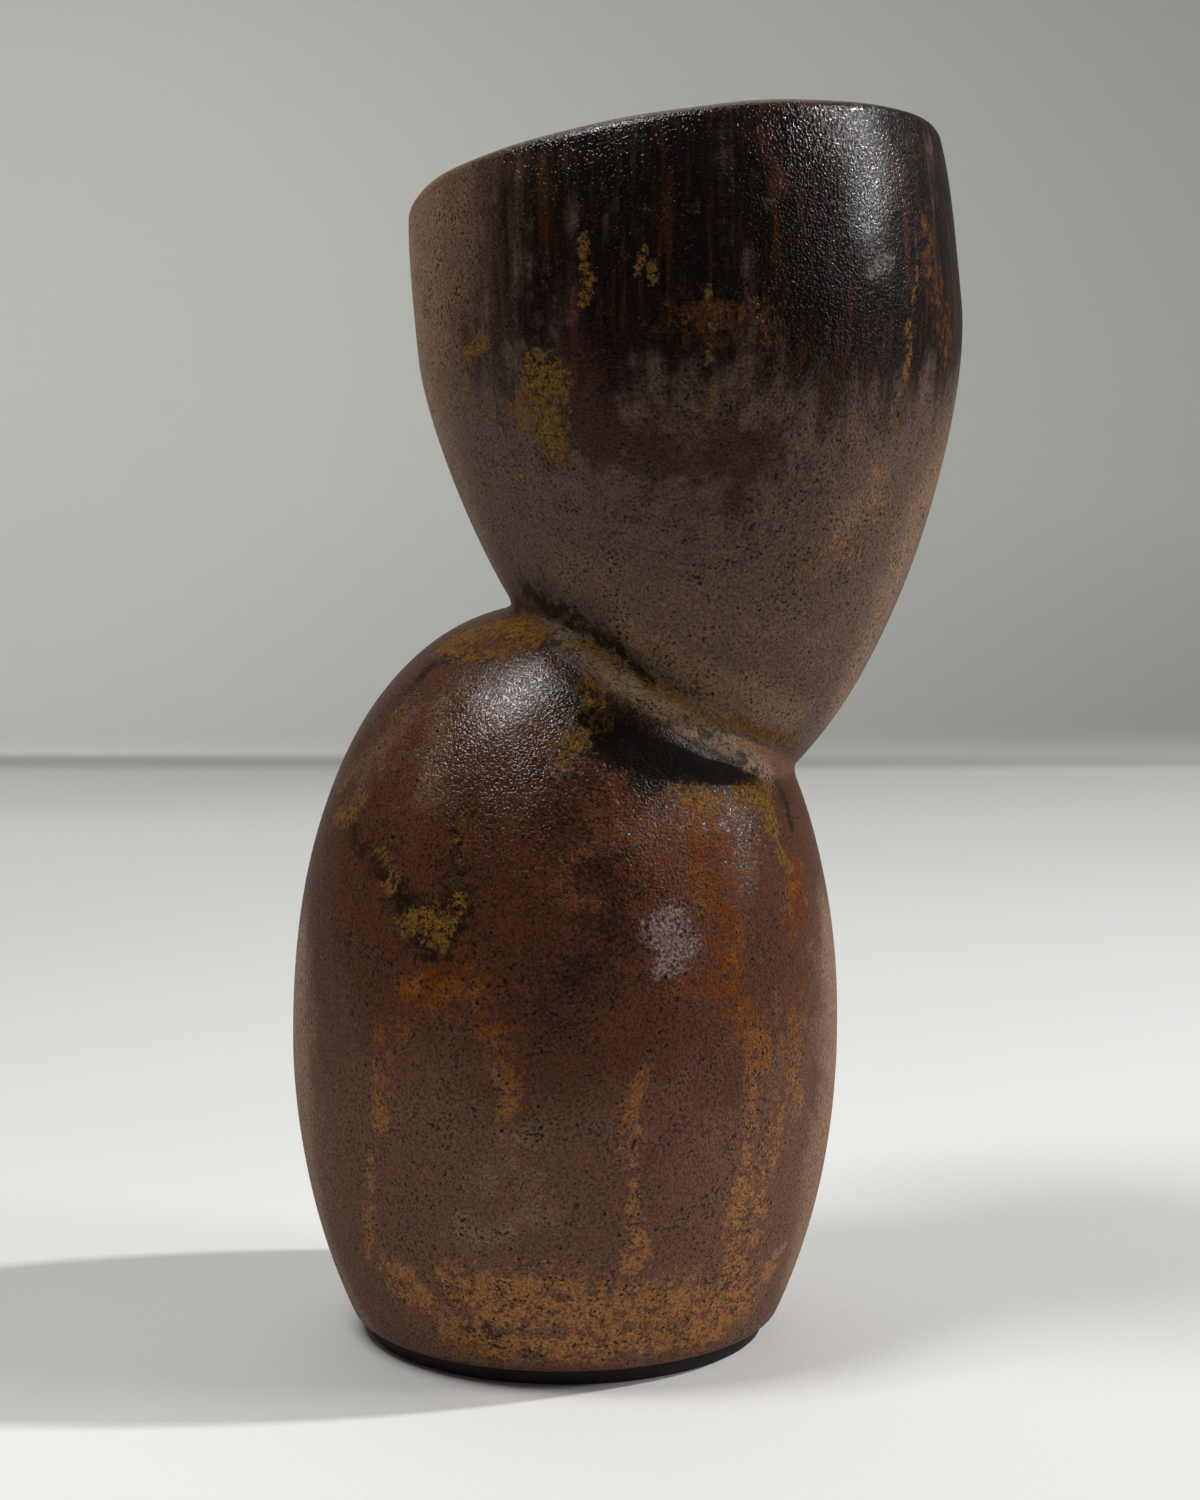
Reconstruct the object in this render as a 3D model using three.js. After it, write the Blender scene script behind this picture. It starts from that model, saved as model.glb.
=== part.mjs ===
// Hand-built stoneware vase: an egg-shaped body, and a pointed cup that leans over it on a slanted
// neck. It is built as a potter joins it leather hard: foot ring, floor slab, two bowls rim to rim
// for the body, neck collar, the cup's cone and band, and rim lip, with a seam coil pressed in
// behind the floor and neck joints.
// Millimetres, +Z up. While the pieces are made, the lower body's axis is the line X = Y = 0 and
// the table is Z = 0. At the end the whole vase moves, so that its origin is the bottom centre of
// its bounding box. The cup leans over to +X, and -Y is the front.

import * as THREE from 'three';

// Joints between pieces
const jointGap = 0.3;

// Foot and floor
const footHeight = 3;
const footRadius = 42.4;
const footWidth = 9;
const footEdgeChamfer = 0.8;
const floorThickness = 7;
const floorCoilSize = 6;

// Lower body
const bodyWall = 6.5;
const bellyRadius = 58.3;
const bellyHeight = 62.3;
const shoulderRise = 92.9;
const shoulderPower = 2.24;
const undersideDrop = 97.1;
const undersidePower = 1.91;
const baseEdgeRound = 2.2;

// Cup, whose axis leans back to -X as it rises from its tip
const cupWall = 6;
const cupRadius = 57.3;
const cupCentreHeight = 210.3;
const cupOverhang = 26.1;
const cupLeanAngle = 5.4;
const cupTipDrop = 100;
const cupTipPower = 1.54;
const cupCrownRise = 61.2;
const cupCrownPower = 4.16;

// Neck, where two parallel slanted cuts bound the collar. They fall towards the overhanging side
// and a little towards the front. The drop is from the height of the cup's centre to the lower cut
// on the body's axis, so that the neck goes up and down with the cup.
const neckSlopeAngle = 31.4;
const neckFrontSlopeAngle = 11.4;
const neckDropUnderCup = 60.7;
const collarHeight = 8.5;
const collarBead = 1.6;
const collarBeadEdge = 1.2;
const coveWidth = 2;
const neckCoilReach = 7;
const neckCoilThickness = 4;
const neckCoilEdge = 0.8;
const neckCoilRelief = 0.8;

// Rim, which rises towards the overhanging side and a little towards the front
const rimHeight = 34.4;
const rimSlopeAngle = 7.6;
const rimFrontSlopeAngle = 2;
const lipHeight = 4.5;
const lipFlat = 0.25;

// Fineness of the faceted surface
const bearings = 48;
const bowlRings = 6;
const shoulderRings = 10;
const collarRings = 8;
const cupConeRings = 10;
const cupBandRings = 4;
const roundingSteps = 4;
const searchStep = 1;
const searchHalvings = 20;

const slope = (degrees) => Math.tan(THREE.MathUtils.degToRad(degrees));

// The two eggs that the outer skin follows
const bodyEgg = {
  centre: new THREE.Vector3(0, 0, bellyHeight),
  axis: new THREE.Vector3(0, 0, 1),
  radius: bellyRadius,
  rise: shoulderRise,
  risePower: shoulderPower,
  drop: undersideDrop,
  dropPower: undersidePower,
  wall: bodyWall,
};
const cupAxis = new THREE.Vector3(-slope(cupLeanAngle), 0, 1).normalize();
const cupEgg = {
  centre: new THREE.Vector3(cupOverhang, 0, cupCentreHeight),
  axis: cupAxis,
  radius: cupRadius,
  rise: cupCrownRise,
  risePower: cupCrownPower,
  drop: cupTipDrop,
  dropPower: cupTipPower,
  wall: cupWall,
};

// True where a point lies inside an egg whose surface is moved in by depth
function isInsideEgg(egg, point, depth) {
  const offset = point.clone().sub(egg.centre);
  const along = offset.dot(egg.axis);
  const across = Math.sqrt(Math.max(offset.lengthSq() - along * along, 0));
  const reach = (along > 0 ? egg.rise : egg.drop) - depth;
  const power = along > 0 ? egg.risePower : egg.dropPower;
  return (across / (egg.radius - depth)) ** power + (Math.abs(along) / reach) ** power < 1;
}

// A ring of the vase lies in the plane z = height - fall * x - back * y, round a centre at x.
// Its points go round on bearings, each at a radius measured level.
function ringPoint(ring, bearing, radius) {
  const x = ring.centre + radius * Math.cos(bearing);
  const y = radius * Math.sin(bearing);
  return new THREE.Vector3(x, y, ring.height - ring.fall * x - ring.back * y);
}

// The radius at which a bearing leaves an egg, or zero where it never meets it
function eggRadius(egg, ring, bearing, depth) {
  const holds = (radius) => isInsideEgg(egg, ringPoint(ring, bearing, radius), depth);
  let outside = bellyRadius + cupRadius + cupOverhang;
  while (outside > searchStep && !holds(outside - searchStep)) outside -= searchStep;
  if (outside <= searchStep) return 0;
  let inside = outside - searchStep;
  for (let halving = 0; halving < searchHalvings; halving += 1) {
    const middle = (inside + outside) / 2;
    if (holds(middle)) inside = middle;
    else outside = middle;
  }
  return inside;
}

// Radius of the skin: the larger egg, with a cove where the two are nearly alike. A face of the
// wall lies wallShare of the wall's thickness plus extra deep under the outer skin.
function skinRadius(ring, bearing, wallShare, extra) {
  const ofBody = eggRadius(bodyEgg, ring, bearing, wallShare * bodyEgg.wall + extra);
  const ofCup = eggRadius(cupEgg, ring, bearing, wallShare * cupEgg.wall + extra);
  const overlap = Math.max(coveWidth - Math.abs(ofBody - ofCup), 0);
  return Math.max(ofBody, ofCup) + (overlap * overlap) / (4 * coveWidth);
}

const outerFace = (ring, bearing) => skinRadius(ring, bearing, 0, 0);
const innerFace = (ring, bearing) => skinRadius(ring, bearing, 1, 0);

// Rings in the planes that the pieces share
const neckCentre = (cupOverhang + cupTipDrop * slope(cupLeanAngle)) / 2;
const rimCentre = new THREE.Vector3().copy(cupEgg.centre).addScaledVector(cupAxis, rimHeight);

const footCut = { centre: 0, height: footHeight, fall: 0, back: 0 };
const bellyCut = { centre: 0, height: bellyHeight, fall: 0, back: 0 };
const neckCut = {
  centre: neckCentre,
  height: cupCentreHeight - neckDropUnderCup,
  fall: slope(neckSlopeAngle),
  back: -slope(neckFrontSlopeAngle),
};
const cupCentreCut = {
  centre: cupOverhang,
  height: cupCentreHeight - slope(cupLeanAngle) * cupOverhang,
  fall: -slope(cupLeanAngle),
  back: 0,
};
const rimCut = {
  centre: rimCentre.x,
  height: rimCentre.z - slope(rimSlopeAngle) * rimCentre.x,
  fall: -slope(rimSlopeAngle),
  back: slope(rimFrontSlopeAngle),
};

// The same plane, lifted square to itself
function lifted(ring, distance) {
  return { ...ring, height: ring.height + distance * Math.hypot(1, ring.fall, ring.back) };
}

function blended(from, to, share) {
  const mix = (key) => THREE.MathUtils.lerp(from[key], to[key], share);
  return { centre: mix('centre'), height: mix('height'), fall: mix('fall'), back: mix('back') };
}

// Rings at even steps from one plane to the next, with the first but not the last
function ringsTowards(from, to, steps) {
  return Array.from({ length: steps }, (unused, i) => blended(from, to, i / steps));
}

// Closes a loop of rows, each a ring of points, into one body: the rows run up the outer face and
// down the inner face, and the last joins the first.
function closedLoft(rows) {
  const positions = [];
  const indices = [];
  for (const point of rows.flat()) positions.push(point.x, point.y, point.z);
  for (let r = 0; r < rows.length; r += 1) {
    const nextRow = (r + 1) % rows.length;
    for (let b = 0; b < bearings; b += 1) {
      const nextBearing = (b + 1) % bearings;
      const corner = r * bearings + b;
      const right = r * bearings + nextBearing;
      const above = nextRow * bearings + b;
      const aboveRight = nextRow * bearings + nextBearing;
      indices.push(corner, right, aboveRight, corner, aboveRight, above);
    }
  }
  const geometry = new THREE.BufferGeometry();
  geometry.setAttribute('position', new THREE.Float32BufferAttribute(positions, 3));
  geometry.setIndex(indices);
  geometry.computeVertexNormals();
  return geometry;
}

const bearingList = Array.from({ length: bearings }, (unused, i) => (2 * Math.PI * i) / bearings);

// One row of points on a face of the wall, moved outwards by grow
function faceRow(ring, face, grow = 0) {
  return bearingList.map((bearing) => ringPoint(ring, bearing, face(ring, bearing) + grow));
}

// A wall with its rows up the outer face and down the inner face
function wallLoft(outerRows, innerRows) {
  return closedLoft([...outerRows, ...innerRows.reverse()]);
}

function plainWall(rings) {
  return wallLoft(
    rings.map((ring) => faceRow(ring, outerFace)),
    rings.map((ring) => faceRow(ring, innerFace)),
  );
}

// A round ring or disc about the lower body's axis, from its half section of [radius, height]
function turned(section) {
  const profile = section.map(([radius, height]) => new THREE.Vector2(radius, height));
  const geometry = new THREE.LatheGeometry(profile, bearings);
  geometry.rotateX(Math.PI / 2);
  return geometry;
}

const bodyInnerRadius = (height) => innerFace({ ...footCut, height }, 0);

function footRing() {
  const inner = footRadius - footWidth;
  return turned([
    [inner, 0],
    [footRadius - footEdgeChamfer, 0],
    [footRadius, footEdgeChamfer],
    [footRadius, footHeight],
    [inner, footHeight],
    [inner, 0],
  ]);
}

function floorSlab() {
  const top = footHeight + floorThickness;
  return turned([
    [0, footHeight],
    [bodyInnerRadius(footHeight) - jointGap, footHeight],
    [bodyInnerRadius(top) - jointGap, top],
    [0, top],
  ]);
}

// The coil fills the corner over the slab, and its hollow face is a quarter round
function floorSeamCoil() {
  const foot = footHeight + floorThickness;
  const wallAt = (height) => bodyInnerRadius(height) - jointGap;
  const section = [[wallAt(foot) - floorCoilSize, foot]];
  section.push([wallAt(foot), foot]);
  section.push([wallAt(foot + floorCoilSize), foot + floorCoilSize]);
  for (let i = 1; i < roundingSteps; i += 1) {
    const angle = (Math.PI / 2) * (i / roundingSteps);
    const height = foot + floorCoilSize * (1 - Math.sin(angle));
    section.push([wallAt(height) - floorCoilSize * (1 - Math.cos(angle)), height]);
  }
  section.push(section[0]);
  return turned(section);
}

// The lower bowl stands on the foot ring with a rounded edge, and ends at the widest ring
function baseBowl() {
  const outer = [];
  for (let i = 0; i < roundingSteps; i += 1) {
    const angle = (Math.PI / 2) * (i / roundingSteps);
    const ring = lifted(footCut, baseEdgeRound * (1 - Math.cos(angle)));
    outer.push(faceRow(ring, outerFace, -baseEdgeRound * (1 - Math.sin(angle))));
  }
  const rings = [...ringsTowards(lifted(footCut, baseEdgeRound), bellyCut, bowlRings), bellyCut];
  outer.push(...rings.map((ring) => faceRow(ring, outerFace)));
  return wallLoft(outer, [footCut, ...rings].map((ring) => faceRow(ring, innerFace)));
}

// The upper bowl is turned over onto the lower one, and ends at the slanted neck cut
function shoulderDome() {
  const foot = lifted(bellyCut, jointGap);
  return plainWall([...ringsTowards(foot, neckCut, shoulderRings), neckCut]);
}

const collarFoot = lifted(neckCut, jointGap);
const collarTop = lifted(collarFoot, collarHeight);

// The collar stands out at the front and the back and dies away at the sides. It has a rounded
// edge at its foot, then a slow taper into the cup.
function collarFace(ring, bearing, share) {
  const edge = Math.min((share * collarHeight) / collarBeadEdge, 1);
  const height = collarBead * (1 - share * share) * Math.sqrt(edge * (2 - edge));
  return outerFace(ring, bearing) + height * Math.sin(bearing) ** 2;
}

function neckCollar() {
  const edgeShare = collarBeadEdge / collarHeight;
  const shares = [];
  for (let i = 0; i < roundingSteps; i += 1) {
    shares.push(edgeShare * (1 - Math.cos((Math.PI / 2) * (i / roundingSteps))));
  }
  for (let i = 0; i <= collarRings; i += 1) {
    shares.push(THREE.MathUtils.lerp(edgeShare, 1, i / collarRings));
  }
  const rings = shares.map((share) => blended(collarFoot, collarTop, share));
  return wallLoft(
    rings.map((ring, i) => faceRow(ring, (at, bearing) => collarFace(at, bearing, shares[i]))),
    rings.map((ring) => faceRow(ring, innerFace)),
  );
}

// A strap of clay behind the collar, rounded towards the passage. It reaches past the collar up
// and down, and stands a little clear of the walls there.
function neckSeamCoil() {
  const middle = lifted(collarFoot, collarHeight / 2);
  const belly = neckCoilThickness - neckCoilEdge;
  const steps = 4 * roundingSteps;
  const back = [];
  const front = [];
  for (let i = 0; i <= steps; i += 1) {
    const side = -1 + (2 * i) / steps;
    const ring = lifted(middle, side * neckCoilReach);
    const backDepth = jointGap + neckCoilRelief * side * side;
    const frontDepth = backDepth + neckCoilEdge + belly * Math.sqrt(1 - side * side);
    back.push(faceRow(ring, (at, bearing) => skinRadius(at, bearing, 1, backDepth)));
    front.push(faceRow(ring, (at, bearing) => skinRadius(at, bearing, 1, frontDepth)));
  }
  return wallLoft(back, front);
}

const cupFoot = lifted(collarTop, jointGap);
const lipFoot = lifted(rimCut, -lipHeight);
const cupTop = lifted(lipFoot, -jointGap);

// The cup's cone runs up to its widest ring
function cupCone() {
  return plainWall([...ringsTowards(cupFoot, cupCentreCut, cupConeRings), cupCentreCut]);
}

// A band on top of the cone draws the cup in again
function cupBand() {
  const foot = lifted(cupCentreCut, jointGap);
  return plainWall([...ringsTowards(foot, cupTop, cupBandRings), cupTop]);
}

// The lip carries on from the cup wall and closes over it in a half round with a narrow flat top
function rimLip() {
  const round = cupWall / 2 - lipFlat;
  const outer = [faceRow(lipFoot, outerFace)];
  const inner = [faceRow(lipFoot, innerFace)];
  for (let i = 0; i <= roundingSteps; i += 1) {
    const angle = (Math.PI / 2) * (i / roundingSteps);
    const ring = lifted(rimCut, -round * (1 - Math.sin(angle)));
    const inset = round * (1 - Math.cos(angle));
    outer.push(faceRow(ring, outerFace, -inset));
    inner.push(faceRow(ring, innerFace, inset));
  }
  return wallLoft(outer, inner);
}

// Finishes: bare fired clay inside and underneath, iron glazes outside
const bareClay = { color: 0x6b4a3c, roughness: 0.85, metalness: 0 };
const darkFoot = { color: 0x2a211e, roughness: 0.7, metalness: 0 };
const umberGlaze = { color: 0x54392e, roughness: 0.48, metalness: 0 };
const ashGlaze = { color: 0x6f5c4d, roughness: 0.6, metalness: 0 };
const blackGlaze = { color: 0x3f2b24, roughness: 0.42, metalness: 0 };
const lipGlaze = { color: 0x6a4636, roughness: 0.5, metalness: 0 };

function piece(name, geometry, finish) {
  const mesh = new THREE.Mesh(geometry, new THREE.MeshStandardMaterial(finish));
  mesh.name = name;
  return mesh;
}

const vase = new THREE.Group();
vase.add(
  piece('foot_ring', footRing(), darkFoot),
  piece('floor_slab', floorSlab(), bareClay),
  piece('floor_seam_coil', floorSeamCoil(), bareClay),
  piece('base_bowl', baseBowl(), umberGlaze),
  piece('shoulder_dome', shoulderDome(), umberGlaze),
  piece('neck_collar', neckCollar(), ashGlaze),
  piece('neck_seam_coil', neckSeamCoil(), bareClay),
  piece('cup_cone', cupCone(), blackGlaze),
  piece('cup_band', cupBand(), blackGlaze),
  piece('rim_lip', rimLip(), lipGlaze),
);

const bounds = new THREE.Box3().setFromObject(vase);
const middle = bounds.getCenter(new THREE.Vector3());
vase.position.set(-middle.x, -middle.y, -bounds.min.z);

export default vase;
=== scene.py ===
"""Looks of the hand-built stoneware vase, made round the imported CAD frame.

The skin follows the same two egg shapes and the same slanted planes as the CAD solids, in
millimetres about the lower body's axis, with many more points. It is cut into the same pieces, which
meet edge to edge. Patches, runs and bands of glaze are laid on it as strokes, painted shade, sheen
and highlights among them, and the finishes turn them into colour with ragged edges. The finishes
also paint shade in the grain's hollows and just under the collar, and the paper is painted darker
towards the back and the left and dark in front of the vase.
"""

from __future__ import annotations

import logging
import math
from collections.abc import Callable, Iterable, Mapping, Sequence
from dataclasses import dataclass, field, replace
from enum import Enum

import bpy
import numpy as np
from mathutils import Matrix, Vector

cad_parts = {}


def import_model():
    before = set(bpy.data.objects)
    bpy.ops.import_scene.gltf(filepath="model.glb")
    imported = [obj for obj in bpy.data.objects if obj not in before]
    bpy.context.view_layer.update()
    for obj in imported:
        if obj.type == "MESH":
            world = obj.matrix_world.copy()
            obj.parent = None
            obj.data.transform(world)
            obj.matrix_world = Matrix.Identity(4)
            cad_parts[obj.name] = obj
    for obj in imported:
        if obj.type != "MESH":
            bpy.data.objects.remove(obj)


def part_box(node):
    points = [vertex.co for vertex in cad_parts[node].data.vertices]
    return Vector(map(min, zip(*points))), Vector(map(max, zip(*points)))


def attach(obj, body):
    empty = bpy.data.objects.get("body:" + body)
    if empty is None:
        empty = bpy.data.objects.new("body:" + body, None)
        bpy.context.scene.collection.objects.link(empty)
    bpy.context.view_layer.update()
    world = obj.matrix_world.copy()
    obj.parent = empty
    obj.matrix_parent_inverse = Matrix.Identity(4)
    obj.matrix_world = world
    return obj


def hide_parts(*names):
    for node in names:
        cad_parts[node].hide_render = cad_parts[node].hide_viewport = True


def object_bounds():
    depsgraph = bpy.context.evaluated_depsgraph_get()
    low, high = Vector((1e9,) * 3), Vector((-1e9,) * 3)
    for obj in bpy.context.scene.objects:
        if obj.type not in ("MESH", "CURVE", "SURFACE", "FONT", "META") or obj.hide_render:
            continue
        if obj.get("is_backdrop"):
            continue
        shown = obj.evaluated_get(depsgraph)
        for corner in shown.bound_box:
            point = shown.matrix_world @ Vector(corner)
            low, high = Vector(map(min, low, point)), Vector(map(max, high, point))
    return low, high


LOG = logging.getLogger("vase")
MM = 0.001
BODY = "root"

# Points round every ring, and the angles at which they lie.
BEARINGS = 256
AROUND = np.arange(BEARINGS) * (2 * math.pi / BEARINGS)
# Millimetres between rows of the bowl, and how many outer rows go with one inner row.
ROW_STEP = 1.4
INNER_EVERY = 2
# How far out an egg's skin is looked for, in millimetres, and how often the last step is halved.
FARTHEST = 140.0
HALVINGS = 16
# Edges of turned pieces that bend by more than this, in degrees, stay sharp.
SHARP_ANGLE = 42.0

Triple = tuple[float, float, float]
Span = tuple[float, float]


# Shape


@dataclass(frozen=True)
class Ring:
    """A ring of the vase, in the plane z = height - fall * x - back * y, round a centre at x."""

    centre: float
    height: float
    fall: float = 0.0
    back: float = 0.0

    def tilt(self) -> float:
        """Length of the plane's upward normal whose z is 1."""
        return math.hypot(1.0, self.fall, self.back)

    def lifted(self, distance: float) -> Ring:
        """The same plane, moved square to itself."""
        return replace(self, height=self.height + distance * self.tilt())

    def towards(self, other: Ring, share: float) -> Ring:
        """The ring that lies a share of the way to another."""
        pairs = ((self.centre, other.centre), (self.height, other.height),
                 (self.fall, other.fall), (self.back, other.back))
        return Ring(*(a + (b - a) * share for a, b in pairs))

    def steps_to(self, other: Ring, steps: int) -> list[Ring]:
        """Rings at even steps to another, with both ends."""
        return [self.towards(other, i / steps) for i in range(steps + 1)]

    def points(self, bearings: np.ndarray, radii: np.ndarray) -> np.ndarray:
        """Points of the ring.

        Args:
            bearings: Angles round the centre, in radians.
            radii: Level distances from the centre, in millimetres.

        Returns:
            An array with the points' x, y and z in its last axis.
        """
        x = self.centre + radii * np.cos(bearings)
        y = radii * np.sin(bearings)
        return np.stack([x, y, self.height - self.fall * x - self.back * y], -1)

    def above(self, points: np.ndarray) -> np.ndarray:
        """Distance of points above the plane, square to it."""
        z = self.height - self.fall * points[..., 0] - self.back * points[..., 1]
        return (points[..., 2] - z) / self.tilt()


@dataclass(frozen=True)
class Egg:
    """One of the two egg shapes that the skin follows."""

    centre: Triple
    lean: float
    radius: float
    rise: float
    rise_power: float
    drop: float
    drop_power: float
    wall: float

    def axis(self) -> np.ndarray:
        """Unit vector of the egg's long axis, which leans back to -X."""
        axis = np.array([-math.tan(math.radians(self.lean)), 0.0, 1.0])
        return axis / np.linalg.norm(axis)

    def holds(self, points: np.ndarray, depth: float) -> np.ndarray:
        """Whether points lie inside the egg.

        Args:
            points: The points, in millimetres.
            depth: How far the egg's surface is moved in.

        Returns:
            True or False for each point.
        """
        offset = points - np.array(self.centre)
        along = offset @ self.axis()
        across = np.sqrt(np.maximum((offset**2).sum(-1) - along**2, 0.0))
        rising = along > 0
        reach = np.where(rising, self.rise, self.drop) - depth
        power = np.where(rising, self.rise_power, self.drop_power)
        return (across / (self.radius - depth)) ** power + (np.abs(along) / reach) ** power < 1

    def radii(self, ring: Ring, bearings: np.ndarray, depth: float) -> np.ndarray:
        """Level radius at which each bearing of a ring leaves the egg.

        Args:
            ring: The ring that is followed.
            bearings: Angles round its centre, in radians.
            depth: How far the egg's surface is moved in.

        Returns:
            The radii in millimetres, zero where a bearing never meets the egg.
        """
        tries = np.arange(1.0, FARTHEST + 1.0)
        held = self.holds(ring.points(bearings[:, None], tries[None, :]), depth)
        last = held.shape[1] - 1 - held[:, ::-1].argmax(1)
        inside = tries[last]
        outside = inside + 1.0
        for _ in range(HALVINGS):
            middle = (inside + outside) / 2
            within = self.holds(ring.points(bearings, middle), depth)
            inside = np.where(within, middle, inside)
            outside = np.where(within, outside, middle)
        return np.where(held.any(1), inside, 0.0)


@dataclass(frozen=True)
class Handwork:
    """Slight unevenness that fingers and scraper leave: waves of random ways and lengths.

    It only ever takes clay away, from least to least and depth together. Spread is how far the waves'
    sum may stray before it is cut off.
    """

    depth: float = 0.38
    least: float = 0.14
    longest: float = 95.0
    shortest: float = 26.0
    waves: int = 14
    spread: float = 3.2
    seed: int = 7

    def cut(self, points: np.ndarray) -> np.ndarray:
        """How far the surface lies under its ideal shape.

        Args:
            points: Points of the ideal shape, in millimetres.

        Returns:
            The depth at each point, in millimetres.
        """
        random = np.random.default_rng(self.seed)
        total = np.zeros(points.shape[:-1])
        for _ in range(self.waves):
            way = random.normal(size=3)
            length = random.uniform(self.shortest, self.longest)
            start = random.uniform(0, 2 * math.pi)
            total += np.sin(points @ (way / np.linalg.norm(way)) * 2 * math.pi / length + start)
        share = 0.5 + total / (self.spread * math.sqrt(self.waves))
        return self.least + self.depth * np.clip(share, 0.0, 1.0)


@dataclass(frozen=True)
class Skin:
    """The vase's outer and inner faces: the larger egg, with a cove where both are alike."""

    lower: Egg
    upper: Egg
    cove: float
    handwork: Handwork

    def radii(self, ring: Ring, share: float, extra: float = 0.0) -> np.ndarray:
        """Radius of a face of the wall at every bearing.

        Args:
            ring: The ring that is followed.
            share: Depth under the outer skin, as a share of the wall.
            extra: More depth, in millimetres.

        Returns:
            The radii in millimetres.
        """
        lower = self.lower.radii(ring, AROUND, share * self.lower.wall + extra)
        upper = self.upper.radii(ring, AROUND, share * self.upper.wall + extra)
        overlap = np.maximum(self.cove - np.abs(lower - upper), 0.0)
        return np.maximum(lower, upper) + overlap**2 / (4 * self.cove)

    def row(self, ring: Ring, share: float, grow: np.ndarray | float = 0.0,
            extra: float = 0.0) -> np.ndarray:
        """One row of points on a face of the wall, with the handwork.

        Args:
            ring: The ring that is followed.
            share: 0 for the outer face, 1 for the inner.
            grow: How far the points stand out from the face.
            extra: More depth under the face.

        Returns:
            An array of bearings by three, in millimetres.
        """
        radii = self.radii(ring, share, extra)
        ideal = ring.points(AROUND, self.radii(ring, 0.0) if share else radii)
        return ring.points(AROUND, radii + grow - self.handwork.cut(ideal))


def smooth(value: np.ndarray | float, low: float, high: float) -> np.ndarray:
    """Smooth step from 0 at low to 1 at high."""
    share = np.clip((np.asarray(value) - low) / (high - low), 0.0, 1.0)
    return share * share * (3 - 2 * share)


def grid_normals(rows: np.ndarray) -> np.ndarray:
    """Unit normals of rows of closed rings, from the rows and bearings beside each point.

    Args:
        rows: Rows by bearings by three, going up the outer face.

    Returns:
        An array of the same size.
    """
    along = np.roll(rows, -1, 1) - np.roll(rows, 1, 1)
    up = np.gradient(rows, axis=0)
    normal = np.cross(along, up)
    return normal / np.linalg.norm(normal, axis=-1, keepdims=True)


# Glaze strokes


class Family(Enum):
    """Kinds of patch that the glaze shows, some of them painted shade, sheen and highlights, by the name of
    their mesh attribute.
    """

    RUST = "rust"
    OCHRE = "ochre"
    OLIVE = "olive"
    ASH_AND_GLINT = "ash_and_glint"
    NIGHT_AND_SHADE = "dark_glaze_and_shade"
    DUST_AND_SHEEN = "dust_and_sheen"
    PLUM = "plum"
    SHINE = "shine"


# How steeply each family's strength falls off past a stroke's half width.
FALL_OFF = {Family.RUST: 2.4, Family.OCHRE: 2.4, Family.OLIVE: 1.8, Family.ASH_AND_GLINT: 3.0,
            Family.NIGHT_AND_SHADE: 2.0, Family.DUST_AND_SHEEN: 3.0, Family.PLUM: 2.0, Family.SHINE: 3.0}


@dataclass(frozen=True)
class Stroke:
    """A patch or run of glaze as it is laid on, which may also be painted shade, sheen or a highlight: places
    in the front view and half widths.
    """

    family: Family
    strength: float
    path: tuple[Triple, ...]
    behind: bool = False

    def on_skin(self, points: np.ndarray) -> tuple[np.ndarray, np.ndarray]:
        """The path's places on the skin and its half widths there.

        Args:
            points: The outer skin's points, in millimetres.

        Returns:
            Places, and half widths.
        """
        side = points[points[:, 1] * (1 if self.behind else -1) >= 0]
        path = np.array(self.path)
        gaps = ((side[None, :, [0, 2]] - path[:, None, :2]) ** 2).sum(-1)
        return side[gaps.argmin(1)], path[:, 2]

    def weight(self, points: np.ndarray, places: np.ndarray, widths: np.ndarray) -> np.ndarray:
        """How strongly the stroke covers points.

        Args:
            points: Points on the vase.
            places: The path on the skin.
            widths: Half widths on the path.

        Returns:
            Strengths, from 0 to the stroke's own.
        """
        best = np.full(len(points), np.inf)
        if len(places) == 1:
            places = np.repeat(places, 2, 0)
            widths = np.repeat(widths, 2)
        for start, end, first, second in zip(places, places[1:], widths, widths[1:]):
            way = end - start
            share = np.clip((points - start) @ way / max(way @ way, 1e-9), 0.0, 1.0)
            gap = np.linalg.norm(points - start - share[:, None] * way, axis=1)
            best = np.minimum(best, gap / (first + (second - first) * share))
        return self.strength / (1.0 + best ** FALL_OFF[self.family])


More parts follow.
